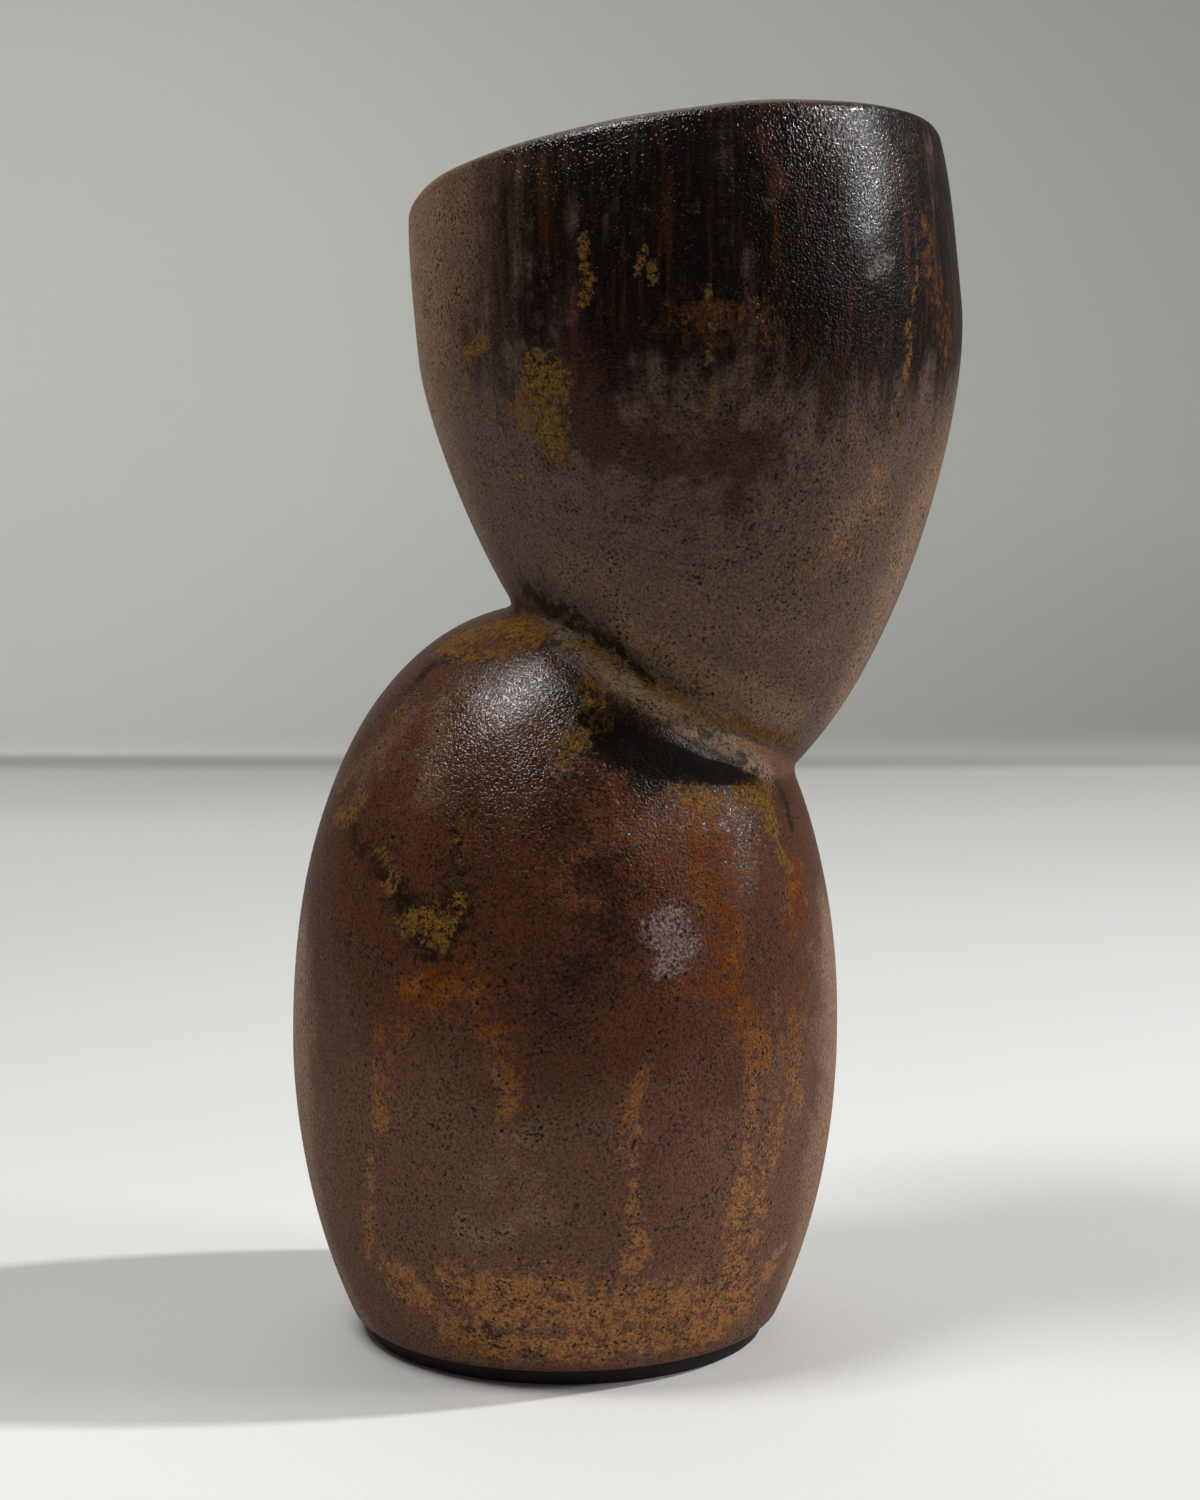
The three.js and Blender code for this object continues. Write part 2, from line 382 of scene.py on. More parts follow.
# Each stroke's strength, then x, z and half width along its path, in millimetres.
LAID_IN_FRONT = {
    Family.RUST: (
        (0.5, (19.8, 106.8, 5), (26.6, 106.5, 5.8), (33.6, 102.3, 5.4)),
        (0.45, (-0.2, 103.5, 3.4), (1.7, 98, 3.4)),
        (0.45, (41.7, 74.4, 4.3), (43.9, 64.1, 4.3), (42.5, 52.3, 3.9), (38.9, 38.7, 3.5),
         (37.5, 28.2, 3.5)),
        (1.3, (-26.1, 81.1, 3.2), (-21.2, 82.8, 4.2), (-17.3, 81.7, 2.6)),
        (1.1, (-28.1, 77.2, 1.7), (-30.1, 79.8, 1.5)),
        (0.85, (-15.8, 76.2, 2.1), (-12.5, 71.6, 2.4), (-10.2, 66, 2.4), (-10, 60.3, 1.9),
         (-11.6, 56.3, 0.9)),
        (0.8, (-35.3, 70.6, 1.9), (-31.5, 72.4, 2.5), (-29.5, 74.5, 1.5)),
        (0.7, (-34.2, 65.8, 2.1), (-35.8, 57.8, 2.7), (-35.9, 51.7, 1.5)),
        (0.55, (-37.3, 45.3, 1.2), (-38.5, 34.5, 1.8), (-39.4, 24.1, 2)),
        (0.58, (16.4, 67.2, 1.1), (14.3, 62, 1.9), (13, 56.3, 2.4), (12.7, 50.4, 2.2), (13.8, 46.4, 0.9)),
        (0.72, (13.8, 44.4, 0.6), (13.8, 37.4, 1.3), (14.2, 32.2, 2.5), (14.5, 25.9, 2.8)),
        (0.7, (36.1, 65.6, 1.7), (36.5, 55.6, 1.7), (36, 45.6, 1.5), (34.7, 37.6, 2.5), (34.5, 29, 2.7),
         (34.1, 21.3, 2.7)),
        (1.05, (26.7, 110.3, 5.8), (29, 100.7, 5), (30.9, 91.2, 4.2), (32, 85.3, 3.3), (33.4, 77.6, 3.1),
         (36, 70.5, 3.8), (39.6, 65, 2.7)),
        (0.85, (22.6, 81.4, 1.9), (26.5, 81.1, 2.3), (31.4, 80.6, 2.3)),
        (1.35, (46.5, 99.7, 2.8), (47.5, 93.8, 3.6), (45.1, 90.3, 2.4)),
        (0.6, (48.4, 82.8, 2.4), (47.2, 73.3, 3.2), (45, 63.8, 3.5), (46.2, 53.4, 2.4)),
        (0.5, (1.7, 105.4, 1.9), (7.3, 108.1, 2.3), (16.9, 111.6, 3.1), (24.7, 112.2, 3.9)),
        (0.5, (1.7, 98, 2.3), (7.3, 97, 1.9)),
        (1.1, (-34.2, 21.9, 3.1), (-31.1, 19.8, 3.5), (-28.1, 17.2, 3.1)),
        (1.25, (-22.8, 23.8, 1.9), (-17.9, 21.2, 3.8), (-12, 19.6, 4.9), (-4.2, 19, 5.3), (3.5, 17.9, 4.6),
         (11.2, 17, 4.6), (19, 16.2, 5), (27, 15.1, 4.7), (34.3, 15.4, 5.1)),
        (1.05, (-22.1, 11.5, 3.1), (-16.2, 9, 2.7), (-8.3, 8.7, 2.3), (1.5, 9, 2.3), (11.2, 9.6, 2.7),
         (21.1, 10.5, 3.1), (30.3, 9.5, 2.7)),
        (0.7, (39.6, 18.2, 2.4), (42.1, 20.6, 2.4)),
        (0.5, (-8.3, 179.1, 1.2)),
        (0.42, (49.1, 162.5, 3.1), (52.1, 165.4, 3.1), (56.5, 162.6, 2.8)),
        (0.4, (70.8, 227.8, 4), (73.9, 215.7, 4.8), (76.8, 204.7, 4.4)),
        (0.42, (24, 206.3, 5.6), (37.1, 204.6, 5.6)),
        (0.35, (59.7, 179.9, 2.7), (62.5, 170.5, 2.4)),
    ),
    Family.OCHRE: (
        (1.3, (-22.4, 146.8, 2.5), (-17.2, 148.8, 3.7), (-11, 149.9, 3.3), (-6.7, 146.9, 2.8)),
        (1.0, (-25.5, 144.7, 1.6), (-18.8, 143.8, 2), (-12.6, 143.9, 1.6)),
        (0.8, (2.3, 145.9, 1.4), (7.3, 143.9, 1.8), (11.3, 141.3, 1.4)),
        (0.75, (18.2, 137, 1.8), (21.6, 135.6, 1.6), (27.2, 132.6, 1.4), (32.4, 129.9, 1.2)),
        (0.65, (5.4, 137.1, 2.7), (7.3, 131.4, 2.7), (2.5, 127.7, 2.7), (-0.3, 122.1, 1.9)),
        (0.85, (-45.8, 111.4, 2), (-42.9, 112.3, 2.6), (-40.2, 114.9, 1.6)),
        (0.6, (-45.9, 116.1, 1.2), (-43.1, 119.4, 1)),
        (0.5, (-34.1, 131.7, 1.6), (-32, 133.7, 1.4)),
        (0.55, (-36.8, 105.8, 1), (-34.6, 104.4, 1.6), (-32.5, 102.3, 1.5), (-33, 98.5, 1.4),
         (-36, 99.2, 1)),
        (0.9, (-30.2, 92.1, 1.9), (-26.2, 94.3, 2.5), (-23.2, 90.8, 2.3), (-20.3, 94.7, 1.5),
         (-19.3, 98.5, 1.3)),
        (0.45, (-19.4, 103.1, 1), (-19.9, 108.7, 1.1), (-18.6, 115.3, 1)),
        (1.1, (33.9, 115.5, 1.8), (37.1, 117.1, 2.4), (40.3, 114.9, 2.4), (41.7, 110, 2)),
        (0.8, (24.8, 116.9, 2.3), (29.8, 115.7, 2.3)),
        (0.6, (45.4, 100.9, 2), (43.3, 105, 1.6)),
        (0.5, (-21.2, 8.2, 2.7), (-12.2, 7.2, 1.9)),
        (1.2, (-4.1, 198.3, 2.7), (-2.2, 195.4, 3.6), (-3.2, 190.9, 3.5), (-2.6, 186.2, 2.5),
         (-1.3, 182.5, 1.7)),
        (0.8, (-7, 194.8, 1.7), (-8.5, 191.2, 1.6), (-8.1, 188.4, 1.4)),
        (0.85, (-19.8, 201.8, 1.2), (-18, 203.4, 1.6), (-15.1, 204.3, 1.8)),
        (0.6, (-19.6, 199, 1), (-19.9, 196.2, 1)),
        (0.6, (-8.3, 179.1, 1)),
        (0.95, (4, 221.6, 0.6), (4.4, 217.5, 0.8), (4.7, 213.3, 1.1), (4.5, 210, 0.8)),
        (0.7, (14.8, 219.2, 0.6), (15.1, 214.7, 0.7)),
        (0.75, (17, 216.4, 0.7), (17.7, 213.7, 0.9)),
        (0.6, (27.9, 211.8, 0.5), (28.3, 204.5, 0.6), (28.2, 199.1, 0.5)),
        (0.75, (27.9, 194.5, 0.5), (27.7, 189.1, 0.8)),
        (0.9, (67.2, 207.7, 0.6), (67, 202, 0.8), (66.5, 197.7, 0.8)),
        (0.6, (68.3, 218.5, 0.6), (67.8, 212.6, 0.6)),
        (0.6, (65, 194.3, 0.6), (64.9, 188.7, 0.6)),
        (0.7, (31.7, 129.3, 1.4), (36, 130.3, 1.8), (38.8, 127.5, 1.8), (43, 127.5, 1.6),
         (46.4, 126.3, 1.4)),
        (0.45, (35.4, 125.9, 1.6), (40.9, 124.1, 1.6)),
    ),
    Family.OLIVE: (
        (1.0, (-0.5, 137.2, 3.1), (7.3, 132.4, 3.9), (17.1, 126.6, 4.3), (26.9, 122.5, 3.9),
         (37.2, 119, 2.8)),
        (0.85, (5.4, 126.7, 3.1), (15.1, 121, 3.8), (24.8, 118.8, 2.7)),
        (0.9, (-31.3, 97.7, 2.3), (-27.2, 91.5, 3.8), (-22.2, 88, 4.2), (-20.3, 97.5, 2.7)),
        (0.65, (-19.4, 103.1, 1.5), (-20.5, 110.5, 1.5), (-18.1, 116.2, 1.3), (-15.8, 120, 1.2)),
        (0.55, (-42.6, 108.9, 2), (-36.8, 103.9, 2.7), (-32.4, 98.6, 2.7)),
        (1.0, (-7.9, 157, 1.6), (-4.8, 154.9, 2.2), (-0.7, 152.9, 1.8), (4.3, 149.3, 1.4),
         (9.3, 145.9, 1.2), (15.3, 140.5, 1), (18.2, 137.4, 0.8)),
        (0.9, (-3.7, 146.9, 1.6), (-0.6, 143.9, 1.8), (3.4, 141.4, 1.6)),
        (0.75, (-16.1, 12.5, 1.9), (-13.1, 10.6, 2.7), (-8.2, 9.8, 2.1), (-3.4, 7.8, 1.7)),
        (0.5, (5.4, 10, 1.5), (11.2, 8.4, 1.5)),
        (0.8, (42.7, 117.5, 1.6), (44.9, 114.4, 1.4), (45.7, 108.5, 1.2)),
        (0.7, (25.1, 130.3, 1.6), (31.1, 126.3, 2), (36.3, 123.5, 1.6)),
        (0.7, (-32.4, 136.6, 1.6), (-27.2, 141.1, 1.8), (-20.9, 143.8, 1.8), (-14.6, 142.9, 1.8)),
    ),
    # Pale speckled patches on the glaze, with painted highlights where they catch the light.
    Family.ASH_AND_GLINT: (
        (1.0, (17.8, 92, 3), (21.1, 92.2, 4.2), (20.3, 87.2, 3.8), (24.5, 88.8, 2.7), (18.7, 84.5, 1.7)),
        (1.0, (58.1, 216.6, 1.1), (60.6, 218.8, 2.1), (62.8, 220.3, 1.5)),
        (0.8, (42.9, 23.4, 1), (45.2, 23.7, 1)),
    ),
    # The first stroke paints near black shade under the collar; the others darken the glaze.
    Family.NIGHT_AND_SHADE: (
        (2.0, (5.4, 132.2, 2.3), (10.2, 128, 4.3), (18, 124.5, 4.6), (27.9, 121.5, 2.9),
         (37.2, 119.2, 1.6)),
        (0.7, (-0.3, 123.9, 3.8), (5.4, 119.3, 4.2)),
        (0.72, (-0.3, 116.5, 8), (4.5, 103.5, 7.9), (11.1, 105.2, 5.7), (7.3, 88.6, 7.9),
         (-0.2, 77.5, 6.7)),
        (0.4, (-21.4, 104.9, 3.4), (-22.2, 93.7, 3.4)),
        (0.7, (10.2, 186.6, 5.7), (24.3, 180.9, 7.2), (37.5, 182.8, 6.5), (33.9, 175.4, 4.2)),
        (0.85, (6.4, 217.8, 5.7), (6.4, 210.4, 7.9), (6.4, 192.2, 8.4), (8.3, 183, 5.3)),
        (0.6, (-5.9, 213.2, 5), (-3.1, 203.7, 5)),
    ),
    # Pale, dry glaze. The strokes on the flanks of body and cup are painted sheen, and those low on the cup
    # paint light on its downward face.
    Family.DUST_AND_SHEEN: (
        (0.5, (-41.2, 120.6, 6.9), (-33.7, 127.9, 7.6), (-24.5, 135, 6), (-25.8, 119.7, 6.6)),
        (1.25, (-55.1, 80.7, 8.2), (-54.6, 60.5, 8.1), (-53.5, 39, 7.4), (-50.6, 23.6, 6.6),
         (-39.2, 3.8, 3.6)),
        (0.95, (54.8, 86.8, 8.2), (55.2, 82.6, 10.7), (55.8, 68.1, 13.6), (55.8, 53.3, 13.6),
         (53.5, 41.3, 11.5), (50.6, 26.4, 9), (47.4, 15.6, 6.2)),
        (0.5, (-15.5, 42.3, 5.3), (-7.8, 50.7, 5.2), (-4.1, 36.8, 5.3), (-21.5, 33.5, 3.8)),
        (1.2, (-30.9, 233.2, 21.6), (-30.9, 224.3, 21.7), (-30.7, 210.8, 20.9), (-23.8, 182, 12.5),
         (-17.6, 167.5, 7.5), (-12.3, 157.2, 2.9)),
        (0.5, (-0.6, 161.7, 6.7), (11.2, 156.7, 7.4), (26.8, 150.8, 8.6), (40.8, 146.9, 8.3),
         (51.3, 144.9, 6.8)),
        (0.92, (77.2, 181.6, 8.3), (71.9, 171.1, 9), (67.7, 159, 9), (62, 144.7, 7.4), (56.5, 132.2, 4.6)),
        (0.7, (61.9, 179, 3.9), (56, 170.2, 4.7)),
        (1.3, (35.6, 121.8, 2.4), (41.3, 120.2, 2.8)),
        (1.05, (13.3, 148.9, 4), (25.2, 139.9, 6.4), (35.3, 134.9, 6.8), (45.9, 131.6, 4.9)),
    ),
    Family.SHINE: (
        (1.0, (-21.9, 123.6, 5.8), (-14.3, 135.2, 8.6), (-3.5, 139.1, 6.7), (-0.4, 129.6, 7),
         (-8, 120.2, 6.5)),
        (0.7, (15, 110.7, 5), (26.7, 113.1, 5), (37, 112.4, 3.9), (34.6, 102.2, 4.3)),
        (1.0, (-7.8, 236.7, 5), (11, 240.5, 5.3), (33.3, 243.2, 4.9), (55.6, 243.4, 6.9),
         (59.9, 236.3, 6.2), (58.1, 225.6, 3.5)),
        (0.3, (3.5, 105.4, 9.4), (7.3, 90.5, 9.4), (-0.2, 77.5, 7.5)),
        (0.2, (25.8, 222.7, 11.2), (37.1, 204.6, 11.3), (29.8, 188.2, 9.4)),
    ),
    Family.PLUM: (
        (0.8, (-26.3, 131.1, 4.4), (-24.8, 121.6, 4.7), (-26.6, 112.1, 4.2), (-29.4, 104.5, 2.7)),
        (0.8, (26.5, 66.8, 4.5), (24.5, 57.3, 4.9), (18.8, 50, 4.1)),
        (0.7, (-11.7, 236.3, 3.9), (-3.9, 237.1, 3.8), (5.5, 238.1, 3)),
        (0.7, (38.9, 239.7, 3), (40.8, 230.5, 3)),
        (0.5, (-46.4, 59.5, 3.5), (-45.6, 45.2, 3.6)),
    ),
}
STROKES = [Stroke(family, strength, tuple(path))
           for family, rows in LAID_IN_FRONT.items() for strength, *path in rows]


@dataclass(frozen=True)
class BackRuns:
    """Runs and patches of the side that faces away, laid on in the same manner as in front."""

    seed: int = 21
    patches: int = 16
    runs: int = 9
    run_steps: int = 4
    flecks: int = 7
    clouds: int = 5

    def strokes(self) -> list[Stroke]:
        """Patches and runs at random places on the side that faces away.

        Returns:
            The strokes.
        """
        random = np.random.default_rng(self.seed)
        found: list[Stroke] = []

        def lay(family: Family, strength: float, path: Iterable[Triple]) -> None:
            """Adds one stroke."""
            found.append(Stroke(family, strength, tuple(path), True))

        for _ in range(self.patches):
            family = (Family.RUST, Family.OCHRE, Family.OLIVE)[int(random.integers(3))]
            x, z = random.uniform(-45, 45), random.uniform(60, 142)
            path = [(x + i * random.uniform(1, 6), z - i * random.uniform(-2, 7), random.uniform(1.5, 4.5))
                    for i in range(int(random.integers(2, 5)))]
            lay(family, random.uniform(0.6, 1.0), path)
        for _ in range(self.runs):
            x, z, length = random.uniform(-48, 48), random.uniform(60, 105), random.uniform(20, 60)
            path = [(x + random.uniform(-1.5, 1.5), z - length * i / self.run_steps, random.uniform(0.9, 2.6))
                    for i in range(self.run_steps + 1)]
            lay(Family.RUST, random.uniform(0.6, 0.9), path)
        lay(Family.RUST, 1.0, [(-40 + 8 * i, random.uniform(13, 20), random.uniform(3.0, 5.2))
                               for i in range(11)])
        for _ in range(self.flecks):
            x, z = random.uniform(-22, 70), random.uniform(185, 225)
            path = [(x, z - 4 * i, random.uniform(0.6, 1.2)) for i in range(4)]
            lay(Family.OCHRE, random.uniform(0.6, 0.9), path)
        # Clouds on the side that faces away: dark glaze, plum, and pale glaze that also paints light low on
        # the cup, as in front.
        for i in range(self.clouds):
            x, z = -30 + 14 * i, random.uniform(70, 110)
            lay(Family.NIGHT_AND_SHADE, 0.5, ((x, z, 8.0), (x + 3, z - 30, 7.0)))
            x = random.uniform(-40, 40)
            lay(Family.PLUM, 0.7, ((x, z + 10, 5.0), (x, z - 8, 4.0)))
            x, z = 8 + 12 * i, random.uniform(150, 178)
            lay(Family.DUST_AND_SHEEN, 0.7, ((x, z, 7.0), (x + 6, z + 8, 6.0)))
        lay(Family.SHINE, 0.9, ((-30, 120, 14.0), (0, 125, 16.0), (28, 112, 12.0)))
        lay(Family.SHINE, 0.9, ((-15, 232, 12.0), (25, 234, 14.0), (65, 240, 12.0)))
        lay(Family.OCHRE, 0.95, ((52, 196, 3.2), (49, 190, 3.6), (50, 183, 2.4)))
        return found


# Shader graph


def linear(code: str) -> Triple:
    """A colour's linear parts, from its hexadecimal code."""
    parts = (int(code[i:i + 2], 16) / 255 for i in (0, 2, 4))
    return tuple(p / 12.92 if p <= 0.04045 else ((p + 0.055) / 1.055) ** 2.4 for p in parts)


class Maths(Enum):
    """Operations of the Math node that the finishes use."""

    ADD = "ADD"
    SUBTRACT = "SUBTRACT"
    MULTIPLY = "MULTIPLY"
    LARGER = "MAXIMUM"
    SMALLER = "MINIMUM"


# Noise keeps close to a half. Times this, its distance from it mostly fills -1 to 1.
NOISE_SPREAD = 7.0


class Value:
    """A number that varies over a surface. Operators on it add Math nodes."""

    def __init__(self, graph: Graph, socket: bpy.types.NodeSocket) -> None:
        """Keeps the socket that gives the number, and the graph that it is in."""
        self.graph = graph
        self.socket = socket

    def _with(self, operation: Maths, first: Value | float, second: Value | float) -> Value:
        """The result of one operation on two numbers."""
        return self.graph.add("ShaderNodeMath", {"operation": operation.value}, {0: first, 1: second})

    def __add__(self, other: Value | float) -> Value:
        """This plus another."""
        return self._with(Maths.ADD, self, other)

    __radd__ = __add__

    def __sub__(self, other: Value | float) -> Value:
        """This less another."""
        return self._with(Maths.SUBTRACT, self, other)

    def __rsub__(self, other: Value | float) -> Value:
        """Another less this."""
        return self._with(Maths.SUBTRACT, other, self)

    def __mul__(self, other: Value | float) -> Value:
        """This times another."""
        return self._with(Maths.MULTIPLY, self, other)

    __rmul__ = __mul__

    def larger(self, other: Value | float) -> Value:
        """The larger of this and another."""
        return self._with(Maths.LARGER, self, other)

    def smaller(self, other: Value | float) -> Value:
        """The smaller of this and another."""
        return self._with(Maths.SMALLER, self, other)

    def step(self, low: float, high: float) -> Value:
        """Smooth step from 0 where this is low to 1 where it is high."""
        return self.graph.add(
            "ShaderNodeMapRange",
            {"interpolation_type": "SMOOTHSTEP"},
            {"Value": self, "From Min": low, "From Max": high, "To Min": 0.0, "To Max": 1.0},
        )


class Graph:
    """The nodes of one material."""

    def __init__(self, name: str) -> None:
        """Starts an empty material.

        Args:
            name: The material's name.
        """
        self.material = bpy.data.materials.new(name)
        self.material.use_nodes = True
        self.tree = self.material.node_tree
        self.tree.nodes.clear()
        self._place: Value | None = None

    def add(self, kind: str, settings: Mapping[str, object] | None = None,
            inputs: Mapping[int | str, object] | None = None, output: int | str | None = 0) -> Value | None:
        """Adds one node.

        Args:
            kind: The node's type.
            settings: Its properties, set before its sockets.
            inputs: Values, colours' codes or links of its sockets, by number or name.
            output: The output socket that is given back, or None for a node that has none.

        Returns:
            The output, which operators work on.
        """
        node = self.tree.nodes.new(kind)
        for key, setting in (settings or {}).items():
            setattr(node, key, setting)
        for key, value in (inputs or {}).items():
            socket = node.inputs[key]
            if isinstance(value, Value):
                self.tree.links.new(value.socket, socket)
            elif isinstance(value, str):
                socket.default_value = (*linear(value), 1.0)
            else:
                socket.default_value = value
        return None if output is None else Value(self, node.outputs[output])

    def place(self) -> Value:
        """The point of the surface in the object's own frame, in metres.

        Returns:
            The point, from one node for the whole material.
        """
        if self._place is None:
            self._place = self.add("ShaderNodeTexCoord", output="Object")
        return self._place

    def stretched(self, scale: Triple) -> Value:
        """The place, stretched along each axis."""
        return self.add("ShaderNodeVectorMath", {"operation": "MULTIPLY"}, {0: self.place(), 1: scale})

    def noise(self, size: float, detail: float = 2.0, rough: float = 0.5,
              stretch: Triple = (1.0, 1.0, 1.0)) -> Value:
        """Noise from 0 to 1.

        Args:
            size: Width of its grains, in millimetres.
            detail: How many finer layers it has.
            rough: How strong these are.
            stretch: Scale along each axis.

        Returns:
            The noise.
        """
        place = self.place() if stretch == (1.0, 1.0, 1.0) else self.stretched(stretch)
        values = {"Vector": place, "Scale": 1 / (size * MM), "Detail": detail, "Roughness": rough}
        return self.add("ShaderNodeTexNoise", {}, values)

    def uneven(self, size: float, detail: float = 2.0, rough: float = 0.5,
               stretch: Triple = (1.0, 1.0, 1.0)) -> Value:
        """Noise about 0, mostly between -1 and 1."""
        return (self.noise(size, detail, rough, stretch) - 0.5) * NOISE_SPREAD

    def painted(self, name: str) -> Value:
        """A strength that the mesh holds at its points."""
        return self.add("ShaderNodeAttribute", {"attribute_name": name}, {}, "Fac")

    def mix(self, first: Value | str, second: Value | str, share: Value) -> Value:
        """Two colours mixed by a share of the second."""
        return self.add("ShaderNodeMix", {"data_type": "RGBA"}, {0: share, 6: first, 7: second}, 2)

    def coated(self, base: Value | str, *coats: tuple[Value | str, Value]) -> Value:
        """A colour under more colours, one over the other.

        Args:
            base: The lowest colour.
            coats: Each further colour, and its share.

        Returns:
            The colour that shows.
        """
        for colour, share in coats:
            base = self.mix(base, colour, share)
        return base

    def bump(self, height: Value, depth: float, strength: float = 1.0, under: Value | None = None) -> Value:
        """A normal that follows a height.

        Args:
            height: The height, of which 1 stands for depth.
            depth: In millimetres.
            strength: How much of it shows.
            under: A normal that this one adds to.

        Returns:
            The normal.
        """
        values: dict[int | str, object] = {"Strength": strength, "Distance": depth * MM, "Height": height}
        if under is not None:
            values["Normal"] = under
        return self.add("ShaderNodeBump", {}, values)

    def shader(self, colour: Value, roughness: Value | float, normal: Value,
               constants: Mapping[str, float]) -> Value:
        """A shader.

        Args:
            colour: Base colour.
            roughness: Roughness.
            normal: Normal.
            constants: More of the shader's sockets, the same all over.

        Returns:
            The shader's output.
        """
        values = {"Base Color": colour, "Roughness": roughness, "Normal": normal, **constants}
        return self.add("ShaderNodeBsdfPrincipled", {}, values)

    def finish(self, shader: Value) -> bpy.types.Material:
        """Links a shader to the material's output and gives the material back."""
        self.add("ShaderNodeOutputMaterial", {}, {"Surface": shader}, None)
        return self.material

    def surface(self, colour: Value, roughness: Value | float, normal: Value,
                constants: Mapping[str, float]) -> bpy.types.Material:
        """Ends the graph in one shader."""
        return self.finish(self.shader(colour, roughness, normal, constants))


# Finishes


@dataclass(frozen=True)
class Edge:
    """How the patches of a family end.

    Size is the width of the edge's ragged steps in millimetres, and ragged how far they reach. Soft is
    half the width of the fade, and level is the strength at which it lies.
    """

    size: float
    ragged: float
    soft: float
    level: float

    def mask(self, graph: Graph, family: Family) -> Value:
        """The family's mask, from 0 to 1, with a ragged, speckled edge where it is at its level."""
        covered = graph.painted(family.value) * (1.0 + graph.uneven(self.size, 5.0, 0.8) * self.ragged)
        return covered.step(self.level - self.soft, self.level + self.soft)


EDGES = {
    Family.OLIVE: Edge(3.0, 1.0, 0.3, 0.42),
    Family.RUST: Edge(2.3, 1.5, 0.34, 0.5),
    Family.OCHRE: Edge(1.3, 1.6, 0.2, 0.5),
    Family.ASH_AND_GLINT: Edge(0.7, 1.6, 0.5, 0.75),
}


